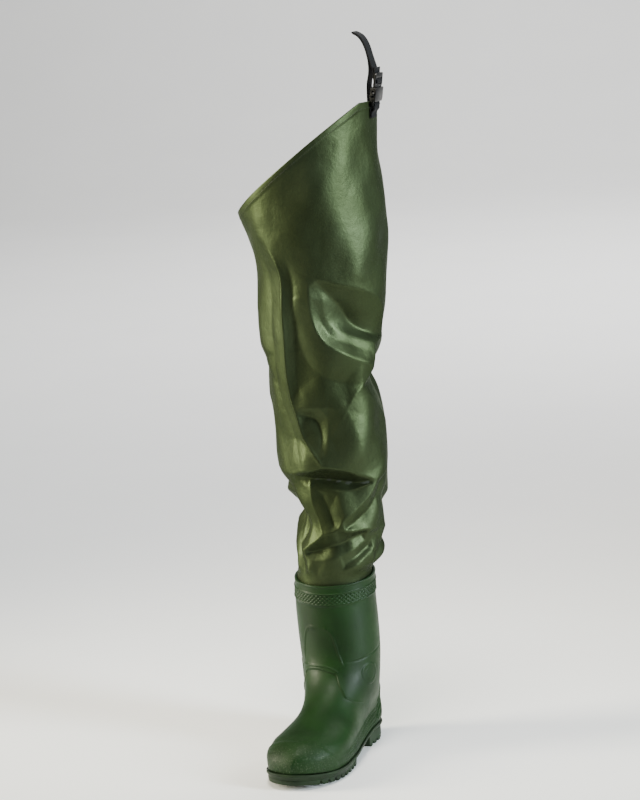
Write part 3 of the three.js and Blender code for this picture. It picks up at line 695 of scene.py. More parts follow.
# The broad folds of the source: around, up the leg, slant in degrees, half length, half width, depth.
broad_folds = (
    (0.33, 0.665, 12, 0.3, 0.13, 0.05), (0.2, 0.585, -8, 0.26, 0.12, 0.045),
    (0.45, 0.43, -6, 0.42, 0.12, 0.045), (0.64, 0.37, 10, 0.3, 0.12, 0.055),
    (0.3, 0.335, -10, 0.3, 0.11, 0.04), (0.9, 0.45, 12, 0.34, 0.13, 0.05),
    (0.88, 0.38, -12, 0.3, 0.12, 0.04),
)

# The creases between the facets of the stiff cloth. Each is a line of places: the turn in degrees
# from the back over the outer side, the height as a share of the leg's, and the lift in millimetres.
creases = {
    "front pressed crease": (
        (202, 0.8, 1), (196, 0.776, 3), (193, 0.755, 4), (192, 0.728, 5), (191, 0.693, 5), (192, 0.656, 5),
        (194, 0.614, 5), (194, 0.575, 5), (193, 0.555, 5), (190, 0.534, 5), (187, 0.503, 5),
        (180, 0.485, 6), (173, 0.469, 7), (168, 0.455, 9),
    ),
    "lee of the pressed crease": (
        (186, 0.776, 0), (183, 0.73, -4), (182, 0.69, -5), (183, 0.65, -4), (186, 0.61, -2),
        (186, 0.575, -1),
    ),
    "inner side of the pressed crease": (
        (212, 0.77, -1), (210, 0.72, -2), (210, 0.65, -3), (212, 0.6, -2), (208, 0.55, -2), (200, 0.5, -2),
    ),
    "lip over the outer pocket": (
        (161, 0.744, 2), (152, 0.741, 4), (141, 0.735, 6), (120, 0.724, 7), (104, 0.712, 8),
        (92, 0.694, 8), (80, 0.666, 7), (72, 0.64, 5),
    ),
    "outer pocket": (
        (157, 0.733, -3), (143, 0.71, -10), (131, 0.694, -13), (119, 0.675, -14), (106, 0.66, -11),
        (92, 0.648, -4),
    ),
    "ridge in the pocket": (
        (154, 0.712, -1), (150, 0.684, -1), (141, 0.666, -1), (120, 0.65, 0), (96, 0.636, 4),
    ),
    "gutter beside the long ridge": (
        (159, 0.705, 1), (156, 0.68, 0), (147, 0.657, -1), (126, 0.64, 0), (104, 0.625, 4),
    ),
    "long ridge": (
        (168, 0.74, 2), (166, 0.708, 5), (163, 0.682, 6), (158, 0.66, 7), (150, 0.643, 7), (132, 0.625, 8),
        (112, 0.61, 9), (102, 0.598, 9),
    ),
    "hollow before the long ridge": (
        (182, 0.715, -3), (181, 0.68, -4), (179, 0.645, -4), (171, 0.614, -4), (156, 0.594, -3),
        (136, 0.582, -1),
    ),
    "turn of the long ridge": (
        (102, 0.598, 9), (114, 0.58, 7), (126, 0.566, 6), (134, 0.55, 5), (141, 0.535, 4), (148, 0.52, 3),
        (157, 0.5, 2),
    ),
    "outer notch": ((96, 0.585, -3), (88, 0.59, -8), (74, 0.592, -10), (58, 0.588, -8), (40, 0.58, -4)),
    "lip over the shin pocket": ((190, 0.548, 5), (178, 0.546, 4), (166, 0.547, 5), (156, 0.548, 5)),
    "shin pocket": ((182, 0.533, -4), (172, 0.528, -6), (167, 0.505, -4), (169, 0.485, 0)),
    "outer edge of the shin pocket": (
        (156, 0.548, 4), (158, 0.528, 2), (160, 0.505, 2), (163, 0.48, 4), (168, 0.455, 9),
    ),
    "knee lip": (
        (213, 0.44, 8), (205, 0.442, 7), (196, 0.446, 6), (182, 0.45, 7), (168, 0.455, 9), (155, 0.452, 8),
        (146, 0.449, 8), (128, 0.438, 8), (108, 0.428, 10),
    ),
    "knee furrow": (
        (204, 0.435, 0), (190, 0.434, -8), (170, 0.432, -12), (150, 0.428, -12), (132, 0.424, -9),
        (116, 0.425, 0),
    ),
    "under the knee furrow": (
        (213, 0.44, 8), (206, 0.428, 2), (192, 0.422, 1), (172, 0.418, 0), (152, 0.415, 0),
        (132, 0.416, 2), (108, 0.428, 10),
    ),
    "outer calf ridge": (
        (108, 0.428, 10), (117, 0.408, 7), (132, 0.391, 6), (144, 0.38, 5), (153, 0.372, 5),
        (159, 0.358, 3),
    ),
    "outer calf hollow": (
        (96, 0.42, -2), (102, 0.4, -4), (115, 0.38, -5), (132, 0.368, -4), (146, 0.36, -2),
    ),
    "front facet, outer edge": (
        (190, 0.424, 2), (191, 0.405, 3), (190, 0.387, 3), (184, 0.365, 5), (178, 0.349, 8),
    ),
    "front facet, inner edge": (
        (226, 0.42, 2), (220, 0.4, 3), (210, 0.378, 3), (196, 0.36, 4), (178, 0.349, 8),
    ),
    "shin hollow": ((176, 0.405, -4), (170, 0.385, -5), (165, 0.366, -3)),
    "low zig-zag": ((178, 0.349, 8), (188, 0.338, 7), (199, 0.328, 6), (211, 0.32, 5)),
    "low wedge": (
        (200, 0.318, -4), (184, 0.322, -9), (168, 0.328, -11), (152, 0.333, -9), (138, 0.34, -5),
        (120, 0.343, -3),
    ),
    "lip over the low wedge": (
        (178, 0.349, 8), (166, 0.353, 5), (158, 0.357, 4), (138, 0.353, 6), (116, 0.35, 7), (92, 0.348, 8),
        (70, 0.344, 5),
    ),
    "under the low wedge": (
        (211, 0.32, 5), (196, 0.308, 2), (176, 0.309, 0), (156, 0.314, 0), (136, 0.322, 2),
        (112, 0.332, 3), (90, 0.336, 4),
    ),
    "inner side under the zig-zag": ((214, 0.365, -4), (216, 0.345, -5), (222, 0.33, -2)),
    "rim fold 1": ((226, 0.312, 3), (225, 0.295, 4), (222, 0.281, 2)),
    "rim fold 2": ((214, 0.31, -1), (212, 0.295, -2), (211, 0.281, -1)),
    "rim fold 3": ((203, 0.305, 2), (199, 0.292, 4), (197, 0.279, 2)),
    "rim fold 4": ((188, 0.302, 1), (187, 0.29, -2), (187, 0.278, 0)),
    "rim fold 5": ((150, 0.29, 1), (134, 0.298, 3), (116, 0.308, 4), (96, 0.318, 3)),
    "rim fold 6": ((146, 0.3, -1), (128, 0.31, -3), (106, 0.32, -2)),
    "rim fold 7": ((100, 0.285, 0), (84, 0.298, 3), (66, 0.312, 4), (48, 0.322, 2)),
    "rim fold 8": ((92, 0.305, -2), (74, 0.32, -3), (56, 0.33, -2)),
    "calf ridge, back outer": (
        (78, 0.415, 3), (62, 0.4, 5), (44, 0.39, 6), (24, 0.385, 5), (6, 0.39, 4), (-12, 0.402, 2),
    ),
    "calf furrow, back outer": (
        (70, 0.39, -3), (50, 0.372, -7), (28, 0.362, -9), (4, 0.362, -7), (-18, 0.372, -4),
    ),
    "back zig-zag": (
        (30, 0.352, 5), (14, 0.345, 6), (-4, 0.338, 5), (-24, 0.344, 6), (-44, 0.355, 7), (-66, 0.362, 6),
        (-90, 0.358, 4),
    ),
    "back knee ridge": (
        (66, 0.5, 3), (48, 0.486, 5), (28, 0.476, 7), (8, 0.47, 8), (-14, 0.476, 7), (-34, 0.488, 6),
        (-56, 0.5, 7), (-78, 0.505, 5), (-100, 0.498, 3),
    ),
    "back knee furrow": (
        (58, 0.47, -3), (38, 0.458, -8), (14, 0.45, -11), (-10, 0.452, -11), (-34, 0.462, -8),
        (-60, 0.474, -8), (-86, 0.478, -5),
    ),
    "back knee lower ridge": (
        (64, 0.448, 4), (42, 0.434, 5), (16, 0.426, 5), (-12, 0.43, 5), (-40, 0.442, 6), (-66, 0.452, 7),
        (-92, 0.45, 5), (-114, 0.44, 4),
    ),
    "inner knee pocket": ((-64, 0.43, -6), (-84, 0.425, -9), (-104, 0.42, -7), (-120, 0.425, -3)),
    "inner calf ridge": (
        (-118, 0.41, 5), (-100, 0.4, 6), (-80, 0.395, 6), (-60, 0.402, 5), (-44, 0.412, 3),
    ),
    "inner calf furrow": ((-120, 0.385, -4), (-96, 0.378, -8), (-70, 0.38, -7), (-46, 0.388, -4)),
    "back thigh ridge 1": (
        (60, 0.63, 3), (42, 0.612, 5), (22, 0.6, 6), (0, 0.592, 6), (-22, 0.588, 5), (-46, 0.592, 3),
    ),
    "back thigh furrow 1": (
        (40, 0.585, -3), (18, 0.572, -7), (-6, 0.565, -8), (-30, 0.565, -6), (-56, 0.574, -3),
    ),
    "back thigh ridge 2": (
        (46, 0.55, 3), (22, 0.54, 5), (-4, 0.535, 5), (-30, 0.54, 6), (-58, 0.552, 6), (-84, 0.56, 4),
        (-108, 0.555, 3),
    ),
    "inner thigh ridge": ((-120, 0.64, 3), (-104, 0.625, 5), (-86, 0.612, 6), (-68, 0.606, 4)),
    "inner thigh furrow": ((-122, 0.615, -3), (-104, 0.598, -7), (-86, 0.588, -7), (-68, 0.586, -3)),
    "back drape 1": ((36, 0.73, 1), (22, 0.7, 4), (12, 0.668, 5), (6, 0.64, 3)),
    "back drape 2": ((10, 0.745, 0), (-6, 0.71, -5), (-16, 0.675, -6), (-20, 0.645, -3)),
    "inner drape": ((-60, 0.75, 1), (-74, 0.72, 4), (-84, 0.69, 5), (-92, 0.66, 3)),
}

# Creases that are pinched to a thin bright edge: which, how high, and half how wide, in millimetres.
pinched = {
    "front pressed crease": (3, 1.8), "long ridge": (0.9, 3), "turn of the long ridge": (0.8, 2.6),
    "knee lip": (1.2, 2.4), "outer calf ridge": (1, 2.4), "low zig-zag": (1, 2.2),
    "lip over the low wedge": (0.9, 2.4), "front facet, outer edge": (0.8, 2.2),
    "back knee ridge": (1, 2.6), "back zig-zag": (1, 2.4), "lip over the outer pocket": (0.7, 3),
    "inner calf ridge": (0.9, 2.4), "back knee lower ridge": (0.9, 2.4), "back thigh ridge 2": (0.7, 2.6),
}
# Slack waves of the loose cloth: how many go round, how many to a metre of height, where they start
# in degrees, and how high they are in millimetres.
slack_waves = (
    (3, 2.1, 20, 1.6), (5, -3.4, 110, 1.2), (7, 4.3, 200, 0.8), (4, 7.5, 310, 0.7), (11, -6.1, 60, 0.45),
    (9, 11.3, 150, 0.4),
)
flat_radius = 0.1
map_columns = 720
map_rows = 800
map_low = 0.25
map_step = 0.001


def flat_line(line):
    """A crease laid flat as a smooth line: metres round the leg, metres up, and its lift in metres."""
    table = np.array(line, float)
    across = np.radians(table[:, 0]) * flat_radius
    flat = np.stack([across, table[:, 1] * leg_height, table[:, 2] / 1000], -1)
    length = np.linalg.norm(np.diff(flat[:, :2], axis=0), axis=1).sum()
    spots = np.linspace(0, 1, max(3, int(length / 0.0025)))
    return np.stack([column(flat[:, k], spots) for k in range(3)], -1)


def crease_map():
    """The lift of the cloth between its creases, as flat facets softened where they meet."""
    full = 2 * math.pi * flat_radius
    points, edges = [], []
    for line in creases.values():
        flat = flat_line(line)
        for shift in (-full, 0, full):
            start = len(points)
            points += [(x + shift, z, lift) for x, z, lift in flat]
            edges += [(start + i, start + i + 1) for i in range(len(flat) - 1)]
    for z in (0.25, 0.272, 0.84, 0.92, 1.05):
        points += [(full * (i / 12 - 1), z, 0) for i in range(37)]
    corners = [Vector(p[:2]) for p in points]
    made = delaunay_2d_cdt(corners, edges, [], 0, 1e-6)
    spots, triangles, origins = made[0], made[2], made[3]
    lifts = [np.mean([points[o][2] for o in origin]) if len(origin) else None for origin in origins]
    field = np.zeros((map_rows, map_columns))
    step_x = full / map_columns
    for i, lift in enumerate(lifts):
        if lift is None:
            near = min(range(len(points)), key=lambda k: (corners[k] - spots[i]).length_squared)
            lifts[i] = points[near][2] * 0.5
    for a, b, c in triangles:
        xs = [spots[k].x for k in (a, b, c)]
        zs = [spots[k].y for k in (a, b, c)]
        left, wide = math.ceil(min(xs) / step_x), math.floor(max(xs) / step_x)
        low, high = math.ceil((min(zs) - map_low) / map_step), math.floor((max(zs) - map_low) / map_step)
        left, wide = max(left, 0), min(wide, map_columns - 1)
        low, high = max(low, 0), min(high, map_rows - 1)
        if left > wide or low > high:
            continue
        u = np.arange(left, wide + 1)[None, :] * step_x
        v = np.arange(low, high + 1)[:, None] * map_step + map_low
        area = (xs[1] - xs[0]) * (zs[2] - zs[0]) - (xs[2] - xs[0]) * (zs[1] - zs[0])
        if abs(area) < 1e-14:
            continue
        one = ((u - xs[0]) * (zs[2] - zs[0]) - (xs[2] - xs[0]) * (v - zs[0])) / area
        two = ((xs[1] - xs[0]) * (v - zs[0]) - (u - xs[0]) * (zs[1] - zs[0])) / area
        in_it = (one >= -1e-9) & (two >= -1e-9) & (one + two <= 1 + 1e-9)
        value = lifts[a] + one * (lifts[b] - lifts[a]) + two * (lifts[c] - lifts[a])
        patch = field[low:high + 1, left:wide + 1]
        patch[in_it] = value[in_it]
    return field


def softened(field, spread_rows, spread_columns):
    """The field blurred a little, going round at its sides."""
    for axis, wide in ((0, spread_rows), (1, spread_columns)):
        reach = int(math.ceil(wide * 2.5))
        total = np.zeros_like(field)
        weights = 0
        for k in range(-reach, reach + 1):
            weight = math.exp(-(k / wide) ** 2)
            if axis == 1:
                total += weight * np.roll(field, k, 1)
            else:
                rows = np.clip(np.arange(field.shape[0]) + k, 0, field.shape[0] - 1)
                total += weight * field[rows]
            weights += weight
        field = total / weights
    return field


def pinch_map():
    """The thin edges pinched along some of the creases."""
    full = 2 * math.pi * flat_radius
    field = np.zeros((map_rows, map_columns))
    u = np.arange(map_columns) * full / map_columns
    v = np.arange(map_rows) * map_step + map_low
    for name, (height, width) in pinched.items():
        path = flat_line(creases[name])[:, :2]
        for shift in (-full, 0, full):
            moved = path + (shift, 0)
            low, high = moved.min(0) - 0.015, moved.max(0) + 0.015
            cols = np.where((u >= low[0]) & (u <= high[0]))[0]
            rows = np.where((v >= low[1]) & (v <= high[1]))[0]
            if not len(cols) or not len(rows):
                continue
            grid = np.stack(np.meshgrid(u[cols], v[rows]), -1)
            far, place = nearest(grid, moved)
            ends = smooth(place / 0.12) * smooth((1 - place) / 0.06)
            lift = height / 1000 * np.exp(-far / (width / 1000)) * ends
            block = np.ix_(rows, cols)
            field[block] = np.maximum(field[block], lift)
    return field


lift_map = softened(crease_map(), 2.1, 2.4) + softened(pinch_map(), 1.5, 1.6)


def read_map(around, z):
    """The lift at those places of the leg."""
    column_at = (around % 1) * map_columns
    row_at = np.clip((z - map_low) / map_step, 0, map_rows - 1.001)
    c, r = np.floor(column_at).astype(int), np.floor(row_at).astype(int)
    fc, fr = column_at - c, row_at - r
    c, d = c % map_columns, (c + 1) % map_columns
    low = lift_map[r, c] * (1 - fc) + lift_map[r, d] * fc
    high = lift_map[r + 1, c] * (1 - fc) + lift_map[r + 1, d] * fc
    return low * (1 - fr) + high * fr


def slack(around, z):
    """How the loose cloth swells and sinks between its creases."""
    total = 0
    for count, waves, start, height in slack_waves:
        phase = 2 * np.pi * (count * around + waves * z) + math.radians(start)
        total = total + height / 1000 * np.sin(phase)
    return total


def mouth_height(around):
    """Height of the mouth's edge all round: a slanting cut, flat where the strap is sewn on."""
    facing = np.cos(2 * np.pi * (around - 0.25) + peak_turn)
    rise = leg_height + peak_over - inseam_height
    return np.minimum(leg_height, inseam_height + rise * (1 + facing) / 2)


def broad_depth(around, z):
    """How deep the broad folds of the source go in."""
    total = 0
    for turn, up, slant, length, width, depth in broad_folds:
        along = (((around - turn + 1.5) % 1) - 0.5) * np.pi * 0.85
        rise = (z - up * leg_height) / thigh_width
        c, s = math.cos(math.radians(slant)), math.sin(math.radians(slant))
        level_part, cross_part = along * c + rise * s, rise * c - along * s
        total = total + depth * np.exp(-(level_part / length) ** 2 - (cross_part / width) ** 2)
    return total * thigh_width


def tuck_point(around, down):
    """A point of the leg's outer face where it lies inside the boot's collar."""
    return boot_point(around, down) - outwards(boot_point, around, down) * (boot_wall + gap)


def leg_point(around, down):
    """A point of the leg's outer face above the collar, down from the mouth."""
    around, down = np.broadcast_arrays(around, down)
    rim = tuck_point(around, np.zeros(around.shape))
    mouth = mouth_height(around)
    z = mouth + (rim[..., 2] - mouth) * down
    place = (z - leg_bottom) / (leg_height - leg_bottom)
    turn = 2 * np.pi * around
    free = smooth((z - rim[..., 2] - 0.0024) / bulge_rise)
    inwards = broad_depth(around, z) * smooth((z - rim[..., 2]) / (bulge_rise * 2))
    lift = (read_map(around, z) + slack(around, z)) * smooth((z - rim[..., 2] - 0.003) / 0.02)
    lift = lift * smooth((mouth - z - hem_depth) / 0.03)
    wide = column(leg_sections["wide"], place) * thigh_width - inwards + lift
    deep = column(leg_sections["deep"], place) * thigh_width - inwards + lift
    x = column(leg_sections["aside"], place) * thigh_width + wide * np.sin(turn)
    y = column(leg_sections["aback"], place) * thigh_width + deep * np.cos(turn)
    x = rim[..., 0] + (x - rim[..., 0]) * free
    y = rim[..., 1] + (y - rim[..., 1]) * free
    return np.stack([x, y, z], -1)


leg_around = 256
closer = 0.34
closest_turn = 0.44
even = np.arange(leg_around) / leg_around
leg_turns = (even - closer * np.sin(2 * np.pi * (even - closest_turn)) / (2 * np.pi))[None, :] % 1
free_downs = np.concatenate([
    np.linspace(0, 0.02, 7, endpoint=False), np.linspace(0.02, 0.2, 26, endpoint=False),
    np.linspace(0.2, 1, 270),
])
cloth = leg_point(leg_turns, free_downs[:, None])
tuck = tuck_point(leg_turns + np.zeros((4, 1)), np.linspace(0.2, 1, 4)[:, None] * tuck_down + 0 * leg_turns)
cloth = np.concatenate([cloth, tuck])


def grid_ways(rings):
    """Outward directions of a grid of rings that go round."""
    across = np.roll(rings, -1, 1) - np.roll(rings, 1, 1)
    along = np.gradient(rings, axis=0)
    way = np.cross(across, along)
    return way / (np.linalg.norm(way, axis=-1, keepdims=True) + 1e-12)


def seam_turn(z):
    """Where the lapped seam lies on the inner side, round the leg, at a height."""
    return seam_around + seam_sway * np.sin((z - 0.27) * 4.2)


cloth_ways = grid_ways(cloth)
below_mouth = mouth_height(leg_turns) - cloth[..., 2]
hem = hem_step * smooth((hem_depth - below_mouth) / 0.0012)
beside_seam = (((leg_turns - seam_turn(cloth[..., 2]) + 0.5) % 1) - 0.5) * 2 * np.pi * flat_radius
seam_lap = seam_step * smooth((seam_half - np.abs(beside_seam)) / 0.002)
seam_lap = seam_lap * smooth((cloth[..., 2] - seam_foot) / 0.01)
hem = np.maximum(hem, seam_lap)
stitch_dip = -0.0005 * ridge(below_mouth - stitch_down, 0.0008)
outer_cloth = cloth + cloth_ways * (hem + stitch_dip)[..., None]
kept_rows = sorted(set(range(0, len(cloth), 4)) | {len(cloth) - 1})
deeper = smooth((below_mouth - 0.03) / 0.05) * smooth((cloth[..., 2] - 0.29) / 0.02)
inner_depth = leg_wall * (1 + 1.2 * deeper)
inner_cloth = (cloth - cloth_ways * inner_depth[..., None])[kept_rows]
leg = closed_wall("fabric_leg", np.concatenate([outer_cloth, inner_cloth[::-1]]))
grid_places = np.empty(len(leg.data.loops) * 2, np.float32)
leg.data.uv_layers[0].data.foreach_get("uv", grid_places)
face_rows = grid_places.reshape(-1, 4, 2)[:, :, 1].mean(1) * (len(outer_cloth) + len(inner_cloth))

# Coated nylon: olive cloth under a thin film. The film takes the cloth's own colour into its sheen, so
# it is drawn as part metallic with dark edges; it breaks up over a crumple of some 40 mm, and the
# weave prints through as a faint grain, at 0.7 mm drawn coarser than its threads.
coated, coated_shader, place = new_material("PVC coated nylon, satin")
cloud = node(coated, "ShaderNodeTexNoise", Vector=place, Scale=7, Detail=3, Roughness=0.55)
clouded = node(coated, "ShaderNodeMapRange", Value=cloud, From_Min=0.35, From_Max=0.65)
olive = node(coated, "ShaderNodeMix", as_colour, 2, i0=clouded, i6=linear("2d3521"), i7=linear("363f2b"))
crumple = node(coated, "ShaderNodeTexNoise", Vector=place, Scale=26, Detail=5, Roughness=0.62)
print_through = node(coated, "ShaderNodeTexNoise", Vector=place, Scale=1500, Detail=1, Roughness=0.55)
soft_bump = node(coated, "ShaderNodeBump", Height=crumple, Strength=0.34, Distance=0.005)
weave_bump = node(coated, "ShaderNodeBump", Height=print_through, Normal=soft_bump, Strength=0.14,
                  Distance=0.0003)
gloss = node(coated, "ShaderNodeTexNoise", Vector=place, Scale=25, Detail=3, Roughness=0.55)
gloss = node(coated, "ShaderNodeMapRange", Value=gloss, From_Min=0.3, From_Max=0.7, To_Min=0.42, To_Max=0.5)
feed(coated, coated_shader, Base_Color=olive, Normal=weave_bump, Roughness=gloss, IOR=1.5, Metallic=0.75,
     Specular_IOR_Level=0.25, Specular_Tint=linear("7d8a68"))

# The uncoated back of the same cloth, seen inside the mouth: darker, with no gloss and a plain weave.
backing, backing_shader, place = new_material("nylon cloth back, matt")
threads_tone = node(backing, "ShaderNodeTexNoise", Vector=place, Scale=700, Detail=3, Roughness=0.55)
backing_tone = node(backing, "ShaderNodeMix", as_colour, 2, i0=threads_tone, i6=linear("161c10"),
                    i7=linear("222a18"))
plain_weave = node(backing, "ShaderNodeTexNoise", Vector=place, Scale=1800, Detail=2, Roughness=0.55)
backing_bump = node(backing, "ShaderNodeBump", Height=plain_weave, Strength=0.4, Distance=0.0004)
feed(backing, backing_shader, Base_Color=backing_tone, Normal=backing_bump, Roughness=0.8)
dress(leg, coated, backing)
leg.data.polygons.foreach_set("material_index", (face_rows > len(outer_cloth)).astype(np.int32))
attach(leg, "root")
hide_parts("leg")


# Stitches. Bonded polyester thread: one row holds the turned hem of the mouth, two rows run down the
# lapped seam of the inner side. Each stitch is a short length of thread that dips in at both ends.
stitch_pitch = 0.0032
stitch_length = 0.0026
thread_half = 0.00028
seam_row = 0.0026
sunk = 0.0001


def leg_place(around, z):
    """The leg's skin at those places: its points and its outward directions."""
    mouth = mouth_height(around)
    rim = tuck_point(around, np.zeros(around.shape))[..., 2]
    down = (mouth - z) / (mouth - rim)
    return leg_point(around, down), outwards(leg_point, around, down)


def stitches(around, z, stand):
    """Places of the stitches in a row along a line on the leg: each with its own three directions."""
    line, facing = leg_place(around, z)
    run = np.concatenate([[0], np.cumsum(np.linalg.norm(np.diff(line, axis=0), axis=1))])
    spots = np.arange(stitch_pitch / 2, run[-1] - 0.001, stitch_pitch)
    middle = np.stack([np.interp(spots, run, line[:, k]) for k in range(3)], -1)
    along = np.stack([np.interp(spots + 0.001, run, line[:, k]) for k in range(3)], -1) - middle
    along /= np.linalg.norm(along, axis=1, keepdims=True)
    out = np.stack([np.interp(spots, run, facing[:, k]) for k in range(3)], -1)
    side = np.cross(along, out)
    ways = (along * stitch_length / 2, side * thread_half, out * thread_half, middle + out * stand)
    return np.stack(ways, -1)


hem_line = np.linspace(0, 1, 1200)
rows_of_stitches = [stitches(hem_line, mouth_height(hem_line) - stitch_down, hem_step - sunk)]
seam_line = np.linspace(seam_foot, float(mouth_height(0.75)) - 0.016, 700)
for side in (1, -1):
    beside = seam_turn(seam_line) + side * seam_row / (2 * math.pi * flat_radius)
    rows_of_stitches.append(stitches(beside, seam_line, seam_step - sunk))
seats = np.concatenate(rows_of_stitches)

bpy.ops.object.select_all(action="DESELECT")
bpy.ops.mesh.primitive_uv_sphere_add(segments=6, ring_count=5, radius=1)
thread = bpy.context.object
thread.name = "hem_and_seam_thread"
ball = np.array([list(v.co) for v in thread.data.vertices])
copies = bmesh.new()
copies.from_mesh(thread.data)
while len(copies.verts) < len(ball) * len(seats):
    bmesh.ops.duplicate(copies, geom=copies.verts[:] + copies.edges[:] + copies.faces[:])
copies.verts.ensure_lookup_table()
bmesh.ops.delete(copies, geom=copies.verts[len(ball) * len(seats):], context="VERTS")
copies.to_mesh(thread.data)
copies.free()
threads = np.einsum("sij,nj->sni", seats[:, :, :3], ball) + seats[:, None, :, 3]
shape_points(thread, threads.reshape(-1, 3))

# Bonded thread: dark olive, a little glossy, with its twist as fine bands of 0.4 mm.
twisted, twisted_shader, place = new_material("bonded polyester thread")
twist = node(twisted, "ShaderNodeTexNoise", Vector=place, Scale=2500, Detail=2, Roughness=0.55)
thread_tone = node(twisted, "ShaderNodeMix", as_colour, 2, i0=twist, i6=linear("10140b"),
                   i7=linear("2a3020"))
twist_bump = node(twisted, "ShaderNodeBump", Height=twist, Strength=0.4, Distance=0.0002)
feed(twisted, twisted_shader, Base_Color=thread_tone, Normal=twist_bump, Roughness=0.5)
dress(thread, twisted)
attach(thread, "root")


# Buckle. A side release buckle of black acetal in two mouldings, clicked together: the socket below
# on its sewn tab, and the plug above with a ladder for the strap.
web_width = 0.020
web_thickness = 0.0016
buckle_length = 0.050
buckle_width = 0.030
buckle_thickness = 0.009
frame_bar = 0.0032
arm_thickness = 0.0036
buckle_lean = math.radians(10)
socket_top = buckle_length * 0.54
half_buckle = buckle_width / 2
slot_half = web_width / 2 + 0.001
slot_width = web_thickness * 2 + gap * 2
cavity_half = half_buckle - 0.0026
peak_of_leg = leg_point(np.array([[0.25]]), np.array([[0.0]]))[0, 0]
buckle_foot = np.array((peak_of_leg[0] + 0.0055, peak_of_leg[1], leg_height - 0.0075))
buckle_up = np.array((math.sin(buckle_lean), 0, math.cos(buckle_lean)))
buckle_out = np.array((math.cos(buckle_lean), 0, -math.sin(buckle_lean)))
buckle_frame = Matrix((
    (0, buckle_up[0], buckle_out[0], buckle_foot[0]),
    (1, buckle_up[1], buckle_out[1], buckle_foot[1]),
    (0, buckle_up[2], buckle_out[2], buckle_foot[2]),
    (0, 0, 0, 1),
))


def plate(outline, thickness):
    """A flat moulding with that outline in the buckle's frame, extruded from a plane."""
    bpy.ops.object.select_all(action="DESELECT")
    bpy.ops.mesh.primitive_circle_add(vertices=len(outline), fill_type="NGON")
    made = bpy.context.object
    for corner, (x, y) in zip(made.data.vertices, outline):
        corner.co = (x, y, -thickness / 2)
    bpy.ops.object.mode_set(mode="EDIT")
    bpy.ops.mesh.select_all(action="SELECT")
    bpy.ops.mesh.extrude_region_move(TRANSFORM_OT_translate={"value": (0, 0, thickness)})
    bpy.ops.mesh.select_all(action="SELECT")
    bpy.ops.mesh.normals_make_consistent(inside=False)
    bpy.ops.object.mode_set(mode="OBJECT")
    return made


def bar_outline(half, low, high):
    """An oblong outline."""
    return ((-half, low), (half, low), (half, high), (-half, high))


def with_plate(piece, outline, thickness, operation):
    """Adds a plate to a piece or cuts it out."""
    other = plate(outline, thickness)
    step = piece.modifiers.new("step", "BOOLEAN")
    step.operation = operation
    step.solver = "EXACT"
    step.object = other
    bpy.context.view_layer.objects.active = piece
    bpy.ops.object.modifier_apply(modifier=step.name)
    bpy.data.objects.remove(other)


def finish_moulding(piece, radius):
    """Rounds a moulding's edges and puts it in its place."""
    rounding = piece.modifiers.new("rounding", "BEVEL")
    rounding.width = radius
    rounding.segments = 3
    rounding.limit_method = "ANGLE"
    rounding.angle_limit = math.radians(30)
    bpy.context.view_layer.objects.active = piece
    bpy.ops.object.modifier_apply(modifier=rounding.name)
    piece.data.transform(buckle_frame)
    bpy.ops.object.select_all(action="DESELECT")
    piece.select_set(True)
    bpy.ops.object.shade_smooth_by_angle(angle=math.radians(40))


neck = slot_width + frame_bar
shell_outline = (
    (-slot_half - 0.0024, neck), (slot_half + 0.0024, neck), (half_buckle, neck + 0.006),
    (half_buckle - 0.001, socket_top), (half_buckle - 0.003, socket_top + 0.0015),
    (0.003 - half_buckle, socket_top + 0.0015), (0.001 - half_buckle, socket_top),
    (-half_buckle, neck + 0.006),
)
socket = plate(shell_outline, buckle_thickness)
socket.name = "socket"
arm_room = arm_thickness + gap * 2
with_plate(socket, bar_outline(slot_half + 0.0024, 0, neck + 0.003), frame_bar, "UNION")
with_plate(socket, bar_outline(slot_half, frame_bar, neck), frame_bar * 2, "DIFFERENCE")
with_plate(socket, bar_outline(cavity_half, neck + 0.002, socket_top + 0.005), arm_room, "DIFFERENCE")
with_plate(socket, bar_outline(buckle_width, neck + 0.006, socket_top - 0.004), arm_room, "DIFFERENCE")
finish_moulding(socket, 0.0006)

plug_foot = neck + 0.003
pad_low = plug_foot + 0.005
pad_high = socket_top - 0.0065
plug_base = socket_top + 0.002
ladder_outline = (
    (0.002 - half_buckle, plug_base), (half_buckle - 0.002, plug_base),
    (half_buckle - 0.0005, plug_base + 0.003), (slot_half + 0.0022, buckle_length - 0.002),
    (slot_half, buckle_length), (-slot_half, buckle_length),
    (-slot_half - 0.0022, buckle_length - 0.002), (0.0005 - half_buckle, plug_base + 0.003),
)
plug = plate(ladder_outline, frame_bar)
plug.name = "plug"
for i in range(2):
    low = plug_base + frame_bar + i * (slot_width + frame_bar)
    with_plate(plug, bar_outline(slot_half, low, low + slot_width), frame_bar * 2, "DIFFERENCE")
with_plate(plug, bar_outline(0.002, plug_foot + 0.003, plug_base + 0.001), arm_thickness, "UNION")
for side in (1, -1):
    arm = (
        (cavity_half - 0.0035, plug_base + 0.001), (cavity_half - 0.004, plug_foot + 0.001),
        (cavity_half - 0.001, plug_foot), (cavity_half - 0.0006, pad_low - 0.001),
        (half_buckle + 0.0008, pad_low + 0.001), (half_buckle + 0.001, pad_high - 0.001),
        (cavity_half - 0.0006, pad_high + 0.002), (cavity_half - 0.0008, plug_base + 0.001),
    )
    with_plate(plug, [(side * x, y) for x, y in arm], arm_thickness, "UNION")
finish_moulding(plug, 0.0004)

